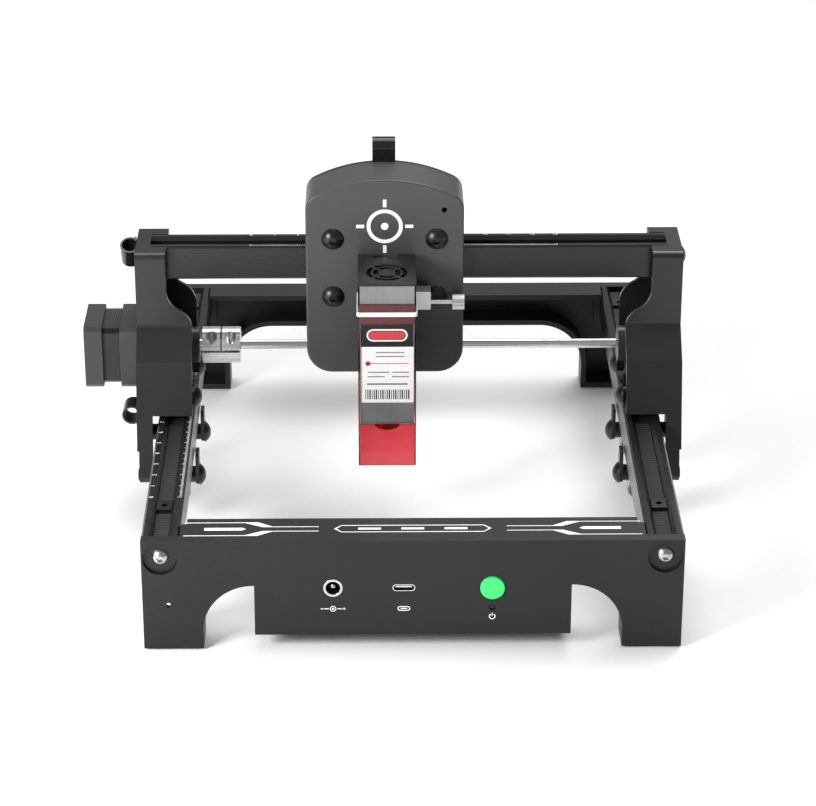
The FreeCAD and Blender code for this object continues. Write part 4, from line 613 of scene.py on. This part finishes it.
# turned acetal: waxy black, with faint rings
acetal = finish("black_acetal", "#161616", "#202020", (0.30, 0.40), 0.5, 0.004)
for node in sorted(frame["nodes"]):
    if "_wheel_" not in node or node in ("y_wheel_bolts", "y_wheel_spacers", "y_wheel_lugs", "x_wheel_bolts",
                                         "x_wheel_spacers", "x_wheel_nuts"):
        continue
    dress(acetal, node)
    low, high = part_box(node)
    spin_axis = 0 if node.startswith("y_") else 1
    middle = (low + high) / 2
    half_width = (high[spin_axis] - low[spin_axis]) / 2 / MM
    outer = 5.0 if (high.z - low.z) / MM < 20 else 6.6
    body = frame["nodes"][node]["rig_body"]
    for end, sign in (("a", -1), ("b", 1)):
        axis = Vector((sign, 0, 0)) if spin_axis == 0 else Vector((0, sign, 0))
        turned("%s_bearing_%s" % (node, end),
               [(SHIELD_INNER, -0.3), (SHIELD_INNER, 0.0), (SHIELD_INNER + 0.15, SHIELD_PROUD),
                (outer - 0.5, SHIELD_PROUD), (outer - 0.3, 0.03), (outer, SHIELD_PROUD), (outer, -0.3)],
               middle + axis * half_width * MM, axis, bright_steel, body, steps=36)


# ---- carriage ------------------------------------------------------------------------------
# A moulded hood covers the carriage's front, with a flat steel plate behind it that carries the
# wheels and the motor. A plain ring and cross is printed where a badge would be.
MARK_HEIGHT = 5.7            # above the middle of the upper bolts
BOLT_HEAD_HALF = 4.74
MARK_RING = (7.6, 6.0)
MARK_ARM = (8.6, 12.0, 1.5)

# painted ABS: dark grey satin, very even, with a soft grain (0.5 mm)
hood_paint = finish("painted_abs_hood", "#3c3c3d", "#454546", (0.34, 0.42), 0.5, 0.004, smudge=50.0)
dress(hood_paint, "carriage_housing")
dress(bracket_black, "carriage_back_plate")
hood_low, hood_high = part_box("carriage_housing")
bolt_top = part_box("x_wheel_bolts")[1].z
mark_place = Vector(((hood_low.x + hood_high.x) / 2, hood_low.y,
                     bolt_top - BOLT_HEAD_HALF * MM + MARK_HEIGHT * MM))
mark = [(circle(0, 0, MARK_RING[0], steps=64), circle(0, 0, MARK_RING[1], steps=64)), circle(0, 0, 1.6)]
for turn in range(4):
    angle = math.radians(90 * turn)
    arm = [(MARK_ARM[0], -MARK_ARM[2] / 2), (MARK_ARM[1], -MARK_ARM[2] / 2), (MARK_ARM[1], MARK_ARM[2] / 2),
           (MARK_ARM[0], MARK_ARM[2] / 2)]
    mark.append([(u * math.cos(angle) - v * math.sin(angle), u * math.sin(angle) + v * math.cos(angle))
                 for u, v in arm])
printed("hood_mark", mark, mark_place, right, up, "carriage", ink)


# ---- cable clips ---------------------------------------------------------------------------
# Loops of glossy black nylon strip, one on the carriage's back and two on the left bracket,
# which would keep a cable off the belts.
nylon = finish("black_nylon", "#0f0f0f", "#191919", (0.14, 0.22), 0.8, 0.003)
dress(nylon, "side_cable_clips", "carriage_cable_clip")


# ---- laser module --------------------------------------------------------------------------
# A finned aluminium heat sink with the laser in its foot, and a fan under a black cover on top.
# A plain data plate is stuck to its front.
PLATE_TOP = 97.7             # heights above the table
PLATE_BOTTOM = 61.7
PLATE_HEADER = 87.2
PLATE_MARGIN = 0.25
LABEL_FILM = 0.025           # three layers of it pass behind the shield, which is 0.1 mm off

# brushed aluminium: mid grey, with upright brush lines (0.15 mm, drawn at 0.25 mm)
brushed = finish("brushed_heat_sink", "#8f9091", "#aaabac", (0.46, 0.56), 0.25, 0.004,
                 stretch=(1.0, 1.0, 0.04), metal=1.0)
dress(brushed, "module_body")
dress(black_abs, "fan_cover", "fan_rotor")

sink_low, sink_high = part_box("module_body")
# coated polyester label stock: white, satin; its dark and grey print is only a little duller
label_stock = finish("label_stock", "#dededd", "#e8e8e7", (0.3, 0.4), 0.8, 0.002)
label_black = finish("label_black_ink", "#080808", "#0e0e0e", (0.3, 0.4), 0.8, 0.002)
label_grey = finish("label_grey_ink", "#6d6d6f", "#7b7b7d", (0.35, 0.45), 0.8, 0.002)
label_red = finish("label_red_ink", "#b8343a", "#c53d43", (0.35, 0.45), 0.8, 0.002)
plate_middle = Vector(((sink_low.x + sink_high.x) / 2, sink_low.y, 0.0))
plate_width = (sink_high.x - sink_low.x) / MM - 2 * PLATE_MARGIN
printed("data_plate",
        [rounded(0, (PLATE_TOP + PLATE_BOTTOM) / 2, plate_width, PLATE_TOP - PLATE_BOTTOM, 0.6)],
        plate_middle, right, up, "laser_head", label_stock, LABEL_FILM)
film_top = plate_middle + out_front * LABEL_FILM * MM
header_z = (PLATE_TOP + PLATE_HEADER) / 2
printed("data_plate_header", [bar(0, header_z, plate_width - 0.1, PLATE_TOP - PLATE_HEADER)],
        film_top, right, up, "laser_head", label_black, LABEL_FILM)
header_top = film_top + out_front * LABEL_FILM * MM
printed("data_plate_lozenge", [(rounded(0, header_z, 17.0, 5.6, 2.7), rounded(0, header_z, 15.6, 4.2, 2.0))],
        header_top, right, up, "laser_head", label_stock, LABEL_FILM)
printed("data_plate_field", [rounded(0, header_z, 15.0, 3.6, 1.7)],
        header_top, right, up, "laser_head", label_red, LABEL_FILM)
printed("data_plate_rule", [bar(0.0, PLATE_HEADER - 7.6, 18.0, 0.35), circle(-8.0, PLATE_HEADER - 7.6, 1.1)],
        film_top, right, up, "laser_head", label_red, LABEL_FILM)
lines = [bar(1.2, PLATE_HEADER - 2.6, 12.0, 0.5), bar(1.2, PLATE_HEADER - 4.4, 12.0, 0.5),
         bar(-3.6, PLATE_HEADER - 11.6, 9.0, 0.5), bar(5.6, PLATE_HEADER - 11.6, 7.0, 0.5),
         bar(-4.6, PLATE_HEADER - 13.6, 7.0, 0.5), bar(5.6, PLATE_HEADER - 13.6, 7.0, 0.5),
         bar(0.0, PLATE_HEADER - 17.0, 17.0, 0.8)]
printed("data_plate_lines", lines, film_top, right, up, "laser_head", label_grey, LABEL_FILM)
printed("data_plate_bars",
        [bar(-9.0 + 0.9 * i, PLATE_HEADER - 21.8, 0.3 + 0.14 * (i % 3), 4.4) for i in range(21)],
        film_top, right, up, "laser_head", label_black, LABEL_FILM)


# ---- light shield --------------------------------------------------------------------------
# A three sided sleeve of red tinted acrylic, polished clear, held round the module by a white
# silicone band. It slides down to screen the spot where the beam lands.
ACRYLIC = "#d44a52"
ACRYLIC_DEEP = "#cd3f48"

# cast acrylic: clear, glossy and red; at this thickness one wall leaves a strong light red
acrylic = finish("red_acrylic", ACRYLIC_DEEP, ACRYLIC, (0.03, 0.06), 6.0, 0.0005, smudge=40.0)
acrylic["shader"].inputs["IOR"].default_value = 1.49
acrylic["shader"].inputs["Transmission Weight"].default_value = 1.0
dress(acrylic, "acrylic_shield")
# silicone: soft white, slightly see-through at its edges
silicone = finish("white_silicone", "#efefed", "#fafaf8", (0.42, 0.52), 0.7, 0.004)
silicone["shader"].inputs["Subsurface Weight"].default_value = 0.15
silicone["shader"].inputs["Subsurface Radius"].default_value = (0.002, 0.002, 0.002)
dress(silicone, "shield_band")


# ---- scene update --------------------------------------------------------------------------
# Brings the view layer up to date, so that every object's place is current.
bpy.context.view_layer.update()
